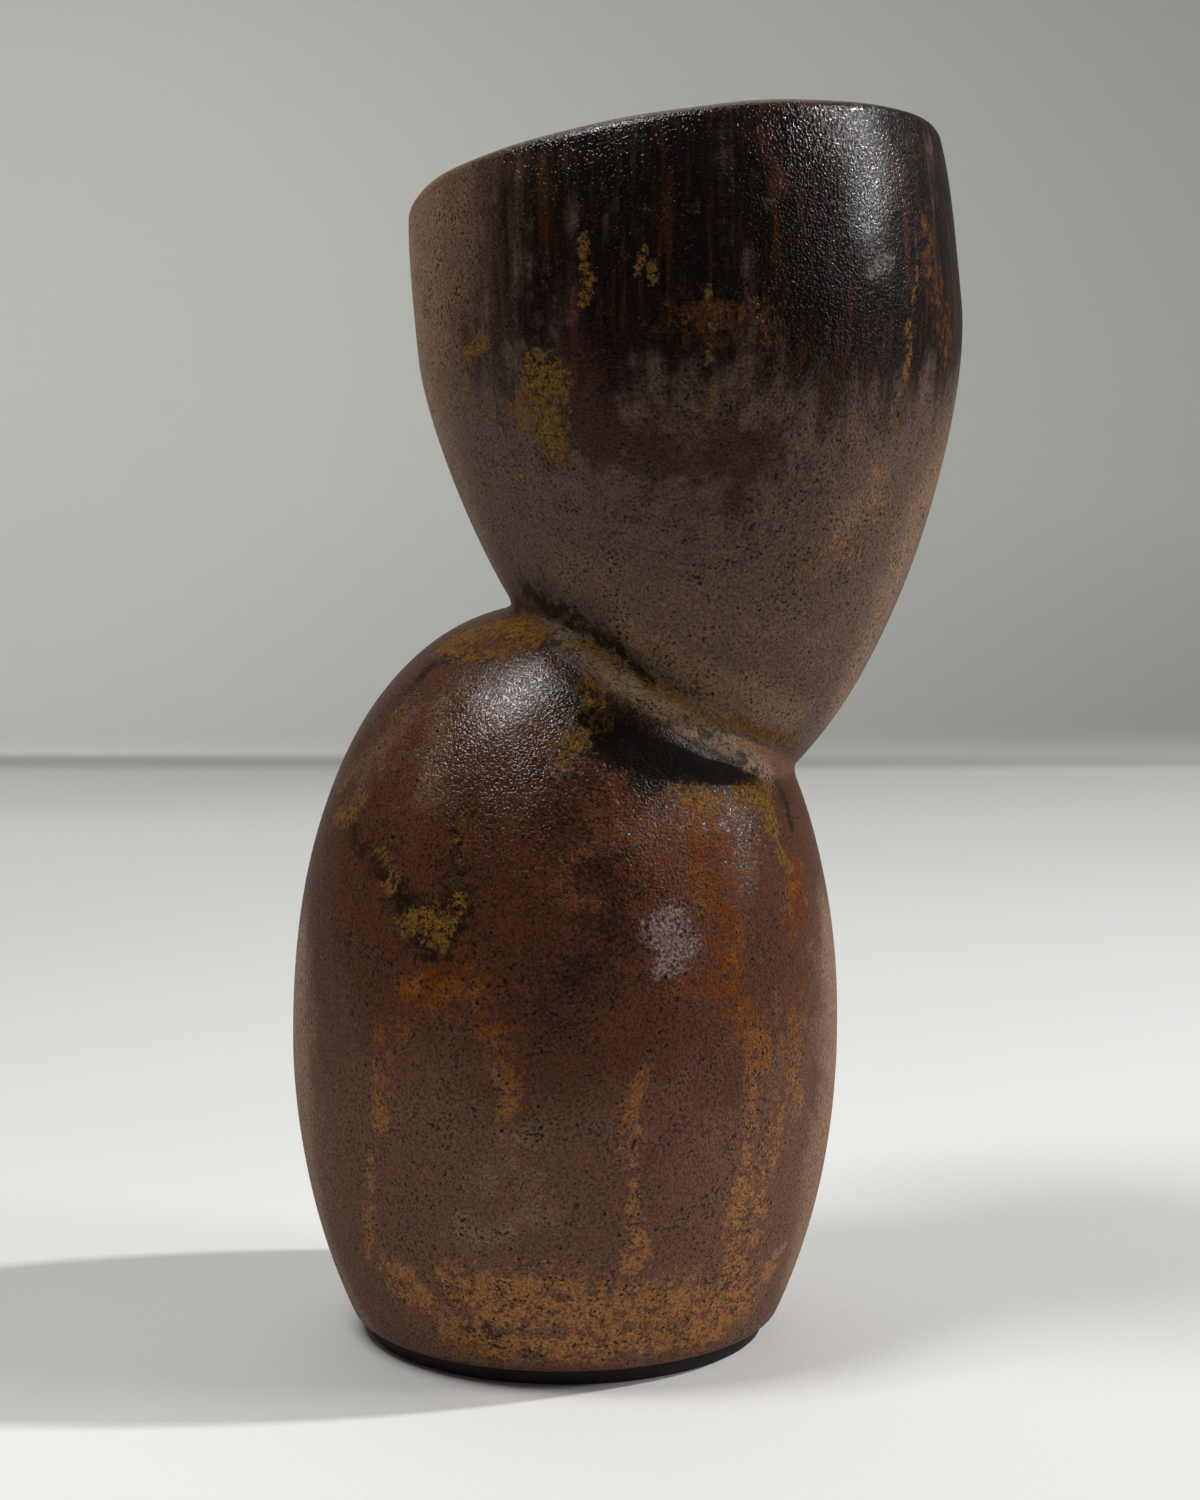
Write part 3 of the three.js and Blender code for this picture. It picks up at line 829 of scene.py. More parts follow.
@dataclass(frozen=True)
class IronGlaze:
    """Satin iron glaze: brown below, nearly black and streaked on the cup, with patches, and with painted
    shade, sheen and highlights.
    """

    name: str
    matte: str = "7a5340"
    gloss: str = "643a28"
    plum: str = "74413b"
    # Also paints the shade under the collar.
    clove: str = "2c1810"
    cup: str = "785f52"
    black: str = "0d0403"
    streak: str = "4e2913"
    violet: str = "52312a"
    # Also paints sheen on the flanks, light low on the cup and the highlight along the lip.
    dust_and_sheen: str = "ab8568"
    speck: str = "a48a70"
    rust: str = "7a3d08"
    amber: str = "b66e18"
    tan: str = "bf8650"
    ochre: str = "84591d"
    straw: str = "c2923c"
    olive: str = "171108"
    moss: str = "5d4a1e"
    collar: str = "937c5e"
    # Also paints highlights.
    bloom_and_glint: str = "b3a4a1"
    # Also paints the shade under the collar, in the grain's hollows and at the collar's lower edge.
    pinhole_and_shade: str = "0a0605"
    grain: float = 0.55
    grain_depth: float = 0.08
    lump: float = 12.0
    lump_depth: float = 0.5
    crust_depth: float = 0.06
    pit_spacing: float = 7.5
    dry_roughness: float = 0.62

    def colour(self, graph: Graph, peel: Value, masks: Mapping[Family, Value]) -> Value:
        """The glaze's colour, painted shade, sheen and highlights included.

        Args:
            graph: The material's graph.
            peel: The height of its grain.
            masks: The masks of its patches.

        Returns:
            The colour.
        """
        cloud = graph.uneven(30.0, 3.0, 0.55)
        mottle = graph.uneven(6.0, 5.0, 0.65)
        fine = graph.uneven(0.75, 3.0, 0.7)
        lines = graph.uneven(2.0, 4.0, 0.65, (1.0, 1.0, 0.07))
        bands = graph.uneven(9.0, 3.0, 0.6, (1.0, 1.0, 0.12))
        matte = graph.painted("matte")
        dark_glaze_and_shade = graph.painted(Family.NIGHT_AND_SHADE.value)
        dust_and_sheen = graph.painted(Family.DUST_AND_SHEEN.value)
        plum = graph.painted(Family.PLUM.value)

        body = graph.coated(
            self.gloss,
            (self.matte, (matte + cloud * 0.2 + mottle * 0.15).step(0.1, 0.9)),
            # Dark clouds of glaze, and the painted shade under the collar, near black where the stroke is
            # strongest.
            (self.clove, (dark_glaze_and_shade + mottle * 0.2 + fine * 0.2).step(0.2, 0.9) * 0.85),
            (self.pinhole_and_shade, (dark_glaze_and_shade + mottle * 0.15).step(0.85, 1.3) * 0.92),
        )
        ink = graph.mix(self.black, self.streak, (lines * 0.7 + bands * 0.5).step(-0.1, 1.3))
        reach = graph.painted("dark") - dust_and_sheen * 1.1 + bands * 0.3 + lines * 0.15 + mottle * 0.15
        cup = graph.coated(
            self.cup,
            (self.violet, (dark_glaze_and_shade + mottle * 0.25).step(0.1, 0.7)),
            (ink, reach.step(0.1, 0.9) * 0.98),
        )
        warm = graph.coated(
            self.rust,
            (self.amber, (mottle * 0.8 + fine * 0.4).step(-0.2, 1.1)),
            (self.tan, matte * 0.85),
        )
        olive = graph.mix(self.olive, self.moss, (mottle * 0.5 + fine * 0.7).step(0.1, 1.0))
        yellow = graph.mix(self.ochre, self.straw, (fine + mottle * 0.4).step(-0.4, 1.1))
        return graph.coated(
            body,
            (cup, graph.painted("upper")),
            (self.plum, (plum + cloud * 0.2 + mottle * 0.2).step(0.35, 1.0) * 0.55),
            # Pale, dry glaze, with painted sheen on the flanks and painted light low on the cup.
            (self.dust_and_sheen, (dust_and_sheen + mottle * 0.3 + fine * 0.15).step(0.15, 1.05) * 0.75),
            (self.speck, (mottle * 0.5 + fine * 0.9 + matte * 0.3).step(0.5, 1.5) * 0.45),
            (self.collar, (graph.painted("collar") + mottle * 0.2 + fine * 0.1).step(0.2, 0.8) * 0.8),
            (olive, masks[Family.OLIVE] * 0.9),
            (warm, masks[Family.RUST] * 0.8),
            (yellow, masks[Family.OCHRE] * 0.95),
            # A pale speckled patch, with painted highlights.
            (self.bloom_and_glint, masks[Family.ASH_AND_GLINT] * 0.6),
            # Painted shade under the collar, near black again, with specks at its edge.
            (self.pinhole_and_shade, (dark_glaze_and_shade + mottle * 0.2 + fine * 0.3).step(0.85, 1.4) * 0.75),
            # Dark specks, and painted shade in the hollows of the grain.
            (self.pinhole_and_shade, (fine * 1.1 + mottle * 0.45).step(-0.1, 1.5) * 0.66 + (1.0 - peel) * 0.42),
            # Painted shade just under the collar.
            (self.pinhole_and_shade, graph.painted("crease") * 0.5),
            # Painted highlight along the top of the lip.
            (self.dust_and_sheen, graph.painted("lip") * 0.5),
        )

    def pinholes(self, graph: Graph) -> Value:
        """Sparse pits that the glaze left open.

        Args:
            graph: The material's graph.

        Returns:
            1 inside a pit, and 0 outside.
        """
        cells = {"Vector": graph.place(), "Scale": 1 / (self.pit_spacing * MM)}
        gap = graph.add("ShaderNodeTexVoronoi", {}, cells, "Distance")
        pick = graph.add("ShaderNodeTexVoronoi", {}, cells, "Color")
        chance = graph.add("ShaderNodeSeparateColor", {}, {0: pick}, 0)
        return (1 - gap.step(0.03, 0.055)) * chance.step(0.5, 0.52)

    def material(self) -> bpy.types.Material:
        """The finish as a material: glossy where the glaze pooled, and dry where it has a crust, where shade
        is painted and on the collar.

        Returns:
            The material.
        """
        graph = Graph(self.name)
        peel = graph.noise(self.grain, 1.0, 0.5).step(0.34, 0.68)
        masks = {family: edge.mask(graph, family) for family, edge in EDGES.items()}
        pits = self.pinholes(graph)
        colour = graph.mix(self.colour(graph, peel, masks), self.pinhole_and_shade, pits)

        fine = graph.noise(self.grain / 3, 2.0, 0.6)
        crust = masks[Family.RUST].larger(masks[Family.OCHRE])
        lumpy = graph.bump(graph.noise(self.lump, 2.0, 0.5), self.lump_depth)
        crusted = graph.bump(crust - pits * 2.0, self.crust_depth, under=lumpy)
        smooth_grain = graph.bump(peel + fine * 0.2, self.grain_depth, under=crusted)
        rough_grain = graph.bump(peel + fine * 0.6, self.grain_depth, under=crusted)

        roughness = 0.1 + graph.noise(5.0, 3.0, 0.6) * 0.1 + graph.painted("matte") * 0.34
        glaze = graph.shader(colour, roughness, smooth_grain, {"Specular IOR Level": 0.5})
        dry = graph.shader(colour, self.dry_roughness, rough_grain, {"Specular IOR Level": 0.04})
        # Where shade is painted under the collar, at the collar's lower edge and on the collar itself, the
        # glaze is dry, without glints.
        shade_and_collar = graph.painted(Family.NIGHT_AND_SHADE.value).step(0.75, 1.1)
        shade_and_collar = shade_and_collar.larger(graph.painted("crease")).larger(graph.painted("collar"))
        shine = graph.painted(Family.SHINE.value)
        share = (0.78 - shine * 0.85).larger(crust * 0.9).larger(shade_and_collar)
        return graph.finish(graph.add("ShaderNodeMixShader", {}, {0: share, 1: glaze, 2: dry}))


@dataclass(frozen=True)
class BareClay:
    """Fired stoneware without glaze, with grog in it."""

    name: str
    clay: str = "7a5646"
    pale: str = "93705c"
    grog: str = "3c2a22"
    grog_depth: float = 0.16

    def material(self) -> bpy.types.Material:
        """The finish as a material.

        Returns:
            The material.
        """
        graph = Graph(self.name)
        cloud = graph.noise(12.0, 4.0, 0.6)
        speck = graph.noise(1.1, 3.0, 0.7)
        colour = graph.coated(self.clay, (self.pale, cloud.step(0.4, 0.7)),
                              (self.grog, speck.step(0.6, 0.7) * 0.8))
        normal = graph.bump(graph.noise(0.9, 3.0, 0.65), self.grog_depth)
        return graph.surface(colour, 0.78 + cloud * 0.15, normal, {"Specular IOR Level": 0.35})


@dataclass(frozen=True)
class DarkFoot:
    """Dark matte finish on the foot ring, rubbed pale where it stands."""

    name: str
    dark_tone: str = "201816"
    rubbed: str = "4a3a32"
    grain_depth: float = 0.14

    def material(self) -> bpy.types.Material:
        """The finish as a material.

        Returns:
            The material.
        """
        graph = Graph(self.name)
        wear = graph.noise(7.0, 4.0, 0.65)
        colour = graph.mix(self.dark_tone, self.rubbed, wear.step(0.55, 0.75) * 0.5)
        normal = graph.bump(graph.noise(0.8, 3.0, 0.6), self.grain_depth)
        return graph.surface(colour, 0.6 + wear * 0.25, normal, {"Specular IOR Level": 0.35})


@dataclass(frozen=True)
class PalePaper:
    """The pale floor and wall, with a little tooth and painted shade: the floor grows dimmer away from the
    lit middle, and is dark in front of the vase.

    Its spans are places in metres: heights of the wall's foot, and depths in front of the vase.
    """

    name: str = "pale_paper"
    paper: str = "efefed"
    shade: str = "e9e9e7"
    wall: str = "e9eae4"
    far: str = "b4b4b0"
    front: str = "3c3c3b"
    wall_foot: Span = (0.0, 0.03)
    floor_end: Span = (0.0, 0.012)
    front_reach: Span = (-0.45, -0.12)
    dim_back: float = 0.47
    dim_left: float = 0.7
    tooth_size: float = 1.6
    tooth_depth: float = 0.12

    def material(self) -> bpy.types.Material:
        """The finish as a material.

        Returns:
            The material.
        """
        graph = Graph(self.name)
        tooth = graph.noise(self.tooth_size, 3.0, 0.6)
        across, back, height = (graph.add("ShaderNodeSeparateXYZ", {}, {0: graph.place()}, axis)
                                for axis in "XYZ")
        dim = (back * self.dim_back - across * self.dim_left) * (1 - height.step(*self.floor_end))
        colour = graph.coated(
            self.paper,
            (self.shade, tooth),
            (self.wall, height.step(*self.wall_foot)),
            # Painted shade: the floor grows darker towards the back and the left.
            (self.far, dim.larger(0.0).smaller(1.0)),
            # Painted shade: the floor is dark in front of the vase.
            (self.front, 1 - back.step(*self.front_reach)),
        )
        normal = graph.bump(tooth, self.tooth_depth, 0.6)
        return graph.surface(colour, 0.9 + tooth * 0.05, normal, {"Specular IOR Level": 0.2})


# Meshes


@dataclass
class Clay:
    """A closed mesh, in millimetres about the lower body's axis."""

    points: np.ndarray
    faces: list[tuple[int, ...]]
    inside: np.ndarray
    normals: np.ndarray | None = None


def quads(rings: int) -> np.ndarray:
    """Faces between rings of points, and from the last ring back to the first.

    Args:
        rings: How many rings there are.

    Returns:
        The points' numbers, as an array of rings by bearings by four.
    """
    low = np.arange(rings * BEARINGS).reshape(rings, BEARINGS)
    right = np.roll(low, -1, 1)
    return np.stack([low, right, np.roll(right, -1, 0), np.roll(low, -1, 0)], -1)


@dataclass
class Stretch:
    """The rows of one piece of the wall, up the outer face and up the inner face."""

    outer: list[np.ndarray]
    inner: list[np.ndarray]
    outer_normals: np.ndarray | None = None
    inner_normals: np.ndarray | None = None

    def clay(self) -> Clay:
        """The piece as a closed mesh, with normals that carry on over its seams.

        Returns:
            The mesh.
        """
        rows = np.array(self.outer + self.inner[::-1])
        points = rows.reshape(-1, 3)
        faces = quads(len(rows)).reshape(-1, 4)
        at = np.concatenate([self.outer_normals, -self.inner_normals[::-1]]).reshape(-1, 3)
        normals = at[faces]
        ends = np.zeros(rows.shape[:2], bool)
        ends[[len(self.outer) - 1, len(rows) - 1]] = True
        flat = np.flatnonzero(ends.reshape(-1))
        corners = points[faces[flat]]
        across = np.cross(corners[:, 2] - corners[:, 0], corners[:, 3] - corners[:, 1])
        across /= np.maximum(np.linalg.norm(across, axis=1, keepdims=True), 1e-12)
        normals[flat] = across[:, None, :]
        inside = np.zeros(rows.shape[:2])
        inside[len(self.outer):] = 1.0
        return Clay(points, [tuple(f) for f in faces.tolist()], inside.reshape(-1), normals.reshape(-1, 3))


def share_normals(stretches: Sequence[Stretch]) -> None:
    """Gives pieces that follow each other up the wall the normals of the whole wall.

    Args:
        stretches: The pieces' rows, from the lowest piece up. The last row of one is the next one's first.
    """
    for face in ("outer", "inner"):
        rows: list[np.ndarray] = []
        spans = []
        for stretch in stretches:
            first = max(len(rows) - 1, 0)
            rows += getattr(stretch, face)[1 if rows else 0:]
            spans.append((first, len(rows)))
        normals = grid_normals(np.array(rows))
        for stretch, (first, end) in zip(stretches, spans):
            setattr(stretch, f"{face}_normals", normals[first:end])


def turned(section: Sequence[Span], wobble: Callable[[float, float], np.ndarray], inside: float) -> Clay:
    """A round piece about the lower body's axis.

    Args:
        section: Radius and height of its outline, in order, as one closed loop. Where it starts and ends
            at radius 0 it is a disc.
        wobble: How far points stand out at every bearing, from their radius and height.
        inside: The mark of its points, 1 for the inside of the vase.

    Returns:
        The piece.
    """
    disc = section[0][0] == 0
    ring = section[1:-1] if disc else section
    rows = []
    for radius, height in ring:
        reach = radius + wobble(radius, height)
        rows.append(np.stack([reach * np.cos(AROUND), reach * np.sin(AROUND),
                              np.full(BEARINGS, height)], -1))
    points = np.concatenate(rows)
    faces = quads(len(ring))
    if disc:
        faces = faces[:-1]
    listed = [tuple(f) for f in faces.reshape(-1, 4).tolist()]
    if disc:
        bottom, top = len(points), len(points) + 1
        upper = bottom - BEARINGS
        points = np.concatenate([points, [[0, 0, section[0][1]], [0, 0, section[-1][1]]]])
        for b in range(BEARINGS):
            following = (b + 1) % BEARINGS
            listed.append((bottom, following, b))
            listed.append((top, upper + b, upper + following))
    return Clay(points, listed, np.full(len(points), inside))


def put(name: str, data: bpy.types.ID) -> bpy.types.Object:
    """Makes an object of its data and puts it into the scene.

    Args:
        name: The object's name.
        data: Its mesh, light or camera.

    Returns:
        The object.
    """
    made = bpy.data.objects.new(name, data)
    bpy.context.scene.collection.objects.link(made)
    return made


@dataclass
class Workshop:
    """Turns clay into Blender objects in the frame, with its paint."""

    axis: tuple[float, float]
    skin_points: np.ndarray
    strokes: Iterable[Stroke]
    marks: Callable[[np.ndarray, np.ndarray], dict[str, np.ndarray]]
    laid: list[tuple[Stroke, np.ndarray, np.ndarray]] = field(default_factory=list)

    def __post_init__(self) -> None:
        """Finds each stroke's place on the skin."""
        for stroke in self.strokes:
            self.laid.append((stroke, *stroke.on_skin(self.skin_points)))

    def paint(self, clay: Clay) -> dict[str, np.ndarray]:
        """Strengths of every family and mark at a piece's points.

        Args:
            clay: The piece's mesh.

        Returns:
            The strengths, by the name of their attribute.
        """
        found = self.marks(clay.points, clay.inside)
        for family in Family:
            found[family.value] = np.zeros(len(clay.points))
        for stroke, places, widths in self.laid:
            weight = stroke.weight(clay.points, places, widths) * (1 - clay.inside)
            found[stroke.family.value] = np.maximum(found[stroke.family.value], weight)
        return found

    def make(self, name: str, node: str, slot: str, clay: Clay, material: bpy.types.Material,
             painted: bool = True) -> bpy.types.Object:
        """Makes one piece, puts it on its body and takes its solid's place.

        Args:
            name: The piece's name.
            node: The CAD node that it stands for.
            slot: The record's material slot.
            clay: Its mesh.
            material: Its finish.
            painted: Whether it is glazed, and holds the strokes.

        Returns:
            The object.
        """
        mesh = bpy.data.meshes.new(name)
        moved = (clay.points + np.array([*self.axis, 0.0])) * MM
        mesh.from_pydata(moved.tolist(), [], clay.faces)
        mesh.update()
        mesh.shade_smooth()
        if clay.normals is None:
            mesh.set_sharp_from_angle(angle=math.radians(SHARP_ANGLE))
        else:
            mesh.normals_split_custom_set(clay.normals.tolist())
        if painted:
            for key, weights in self.paint(clay).items():
                layer = mesh.attributes.new(key, "FLOAT", "POINT")
                layer.data.foreach_set("value", weights.astype(np.float32))
        mesh.materials.append(material)
        piece = put(name, mesh)
        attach(piece, BODY)
        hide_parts(node)
        LOG.info("%s stands for %s: %d points, finish %s", name, node, len(mesh.vertices), slot)
        return piece


# Sub-assemblies


@dataclass(frozen=True)
class Body:
    """The egg-shaped lower body: two bowls joined rim to rim."""

    wall: float = 6.5
    radius: float = 58.3
    belly_height: float = 62.3
    shoulder_rise: float = 92.9
    shoulder_power: float = 2.24
    underside_drop: float = 97.1
    underside_power: float = 1.91
    foot_height: float = 3.0
    edge_round: float = 2.2
    edge_steps: int = 8
    shoulder_rows: int = 66
    neck_band: float = 6.0
    neck_rows: int = 6
    smear: float = 1.3
    smear_reach: float = 5.0

    def egg(self) -> Egg:
        """The egg shape of the body."""
        return Egg((0.0, 0.0, self.belly_height), 0.0, self.radius, self.shoulder_rise,
                   self.shoulder_power, self.underside_drop, self.underside_power, self.wall)

    def bowl(self, skin: Skin, gap: float) -> Stretch:
        """Rows of the lower bowl, from its rounded base edge to the widest ring.

        Args:
            skin: The faces that it follows.
            gap: Width of the seams between pieces.

        Returns:
            The rows.
        """
        foot = Ring(0.0, self.foot_height)
        outer = []
        for i in range(self.edge_steps):
            angle = math.pi / 2 * i / self.edge_steps
            ring = foot.lifted(self.edge_round * (1 - math.cos(angle)))
            outer.append(skin.row(ring, 0.0, -self.edge_round * (1 - math.sin(angle))))
        belly = Ring(0.0, self.belly_height + gap / 2)
        start = foot.lifted(self.edge_round)
        rings = start.steps_to(belly, round((belly.height - start.height) / ROW_STEP))
        outer += [skin.row(ring, 0.0) for ring in rings]
        inner = [skin.row(ring, 1.0) for ring in foot.steps_to(belly, len(rings) // INNER_EVERY)]
        return Stretch(outer, inner)

    def smeared(self, skin: Skin, ring: Ring, neck: Ring) -> np.ndarray:
        """A row of the dome, with the clay that was smeared from the collar on to it.

        Args:
            skin: The faces that it follows.
            ring: The row's ring.
            neck: The plane of the neck's cut.

        Returns:
            The row.
        """
        above = neck.above(skin.row(ring, 0.0))
        height = self.smear * np.exp(-(above / self.smear_reach) ** 2)
        return skin.row(ring, 0.0, height * np.sin(AROUND) ** 2)

    def dome(self, skin: Skin, neck: Ring, gap: float) -> Stretch:
        """Rows of the upper bowl, from the widest ring to the slanted neck cut.

        Args:
            skin: The faces that it follows.
            neck: The plane of the neck's cut.
            gap: Width of the seams between pieces.

        Returns:
            The rows.
        """
        belly = Ring(0.0, self.belly_height + gap / 2)
        near = neck.lifted(-self.neck_band)
        seam = neck.lifted(gap / 2)
        rings = belly.steps_to(near, self.shoulder_rows)
        fine = near.steps_to(seam, self.neck_rows)[1:]
        outer = [self.smeared(skin, ring, neck) for ring in rings + fine]
        inner = [skin.row(ring, 1.0) for ring in rings[::INNER_EVERY] + fine]
        return Stretch(outer, inner)


@dataclass(frozen=True)
class Foot:
    """The foot ring, the floor and the coil pressed into the floor's corner."""

    height: float = 3.0
    radius: float = 42.4
    width: float = 9.0
    edge: float = 0.8
    floor: float = 7.0
    turnings: int = 18
    turning_depth: float = 0.14
    coil: float = 6.0
    coil_steps: int = 10
    thumbs: int = 19
    press: float = 0.35
    wear: float = 0.12

    def ring(self) -> Clay:
        """The foot ring, with eased edges and a slightly uneven face.

        Returns:
            The ring.
        """
        inner = self.radius - self.width
        ease = self.edge
        section = [(inner + ease, 0.0), (self.radius - ease, 0.0), (self.radius - ease * 0.3, ease * 0.3),
                   (self.radius, ease), (self.radius, self.height), (inner, self.height),
                   (inner, ease), (inner + ease * 0.3, ease * 0.3)]

        def worn(radius: float, height: float) -> np.ndarray:
            """How far the outer face stands out."""
            return -self.wear * (1 + np.sin(3 * AROUND + 0.4)) * (radius > inner + 3)

        return turned(section, worn, 0.0)

    def slab(self, reach_low: float, reach_high: float) -> Clay:
        """The floor slab, with shallow turning marks on its upper face.

        Args:
            reach_low: Its radius underneath.
            reach_high: Its radius on top.

        Returns:
            The slab.
        """
        top = self.height + self.floor
        section = [(0.0, self.height), (reach_low, self.height), (reach_high, top - 0.3)]
        for i in range(self.turnings + 1):
            radius = (reach_high - 0.6) * (1 - i / (self.turnings + 1))
            section.append((radius, top - self.turning_depth * (1 + math.cos(i * 2.1))))
        section.append((0.0, top - 0.1))
        return turned(section, lambda radius, height: 0 * AROUND, 1.0)

    def seam_coil(self, wall_at: Callable[[float], float]) -> Clay:
        """The coil in the corner of floor and wall, with the marks of the thumb.

        Args:
            wall_at: The wall's inner radius at a height, less the joint.

        Returns:
            The coil.
        """
        low = self.height + self.floor
        section = [(wall_at(low) - self.coil, low), (wall_at(low), low),
                   (wall_at(low + self.coil), low + self.coil)]
        for i in range(1, self.coil_steps):
            angle = math.pi / 2 * i / self.coil_steps
            height = low + self.coil * (1 - math.sin(angle))
            section.append((wall_at(height) - self.coil * (1 - math.cos(angle)), height))

        def pressed(radius: float, height: float) -> np.ndarray:
            """How far the free face stands out between the marks."""
            share = math.sin(math.pi * (height - low) / self.coil) if height < low + self.coil else 0.0
            free = radius < wall_at(height) - 0.1
            return self.press * share * free * (1 + np.cos(self.thumbs * AROUND))

        return turned(section, pressed, 1.0)


@dataclass(frozen=True)
class Neck:
    """The slanted joint: the collar outside and the pressed coil inside."""

    slope: float = 31.4
    front_slope: float = 11.4
    cut_height: float = 149.6
    collar_height: float = 8.5
    bead: float = 1.6
    bead_edge: float = 1.2
    bead_steps: int = 6
    taper_steps: int = 12
    inner_steps: int = 6
    cove: float = 2.0
    coil_reach: float = 7.0
    coil_thickness: float = 4.0
    coil_edge: float = 0.8
    coil_relief: float = 0.8
    coil_steps: int = 20
    thumbs: int = 13
    press: float = 0.55

    def cut(self, centre: float) -> Ring:
        """The plane of the cut that the collar stands on."""
        return Ring(centre, self.cut_height, math.tan(math.radians(self.slope)),
                    -math.tan(math.radians(self.front_slope)))

    def collar(self, skin: Skin, cut: Ring, gap: float, smear: float) -> Stretch:
        """Rows of the collar, whose bead rises from the smear below it and tapers into the cup.

        Args:
            skin: The faces that it follows.
            cut: The plane of the neck's cut.
            gap: Width of the seams between pieces.
            smear: How high the clay is smeared below it.

        Returns:
            The rows.
        """
        foot = cut.lifted(gap)
        top = foot.lifted(self.collar_height)
        first, last = foot.lifted(-gap / 2), top.lifted(gap / 2)
        edge_share = self.bead_edge / self.collar_height
        shares = [edge_share * (1 - math.cos(math.pi / 2 * i / self.bead_steps))
                  for i in range(self.bead_steps)]
        shares += [edge_share + (1 - edge_share) * i / self.taper_steps
                   for i in range(self.taper_steps + 1)]
        rings = [first, *(foot.towards(top, share) for share in shares[1:-1]), last]
        outer = []
        for ring, share in zip(rings, shares):
            edge = min(share / edge_share, 1.0)
            height = (smear + (self.bead - smear) * math.sqrt(edge * (2 - edge))) * (1 - share * share)
            outer.append(skin.row(ring, 0.0, height * np.sin(AROUND) ** 2))
        return Stretch(outer, [skin.row(ring, 1.0) for ring in first.steps_to(last, self.inner_steps)])

    def seam_coil(self, skin: Skin, cut: Ring, gap: float) -> Clay:
        """The strap of clay behind the collar, pressed on by the thumb from inside.

        Args:
            skin: The faces that it follows.
            cut: The plane of the neck's cut.
            gap: Width of the seams between pieces.

        Returns:
            The strap.
        """
        middle = cut.lifted(gap + self.collar_height / 2)
        belly = self.coil_thickness - self.coil_edge
        back, front = [], []
        hollow = 0.5 * (1 + np.cos(self.thumbs * AROUND))
        for i in range(self.coil_steps + 1):
            side = -1 + 2 * i / self.coil_steps
            ring = middle.lifted(side * self.coil_reach)
            depth = gap + self.coil_relief * side * side
            swell = self.coil_edge + belly * math.sqrt(1 - side * side)
            back.append(skin.row(ring, 1.0, 0.0, depth))
            front.append(skin.row(ring, 1.0, self.press * hollow * (1 - side * side), depth + swell))
        stretch = Stretch(back, front)
        share_normals([stretch])
        clay = stretch.clay()
        clay.inside[:] = 1.0
        clay.normals = None
        return clay


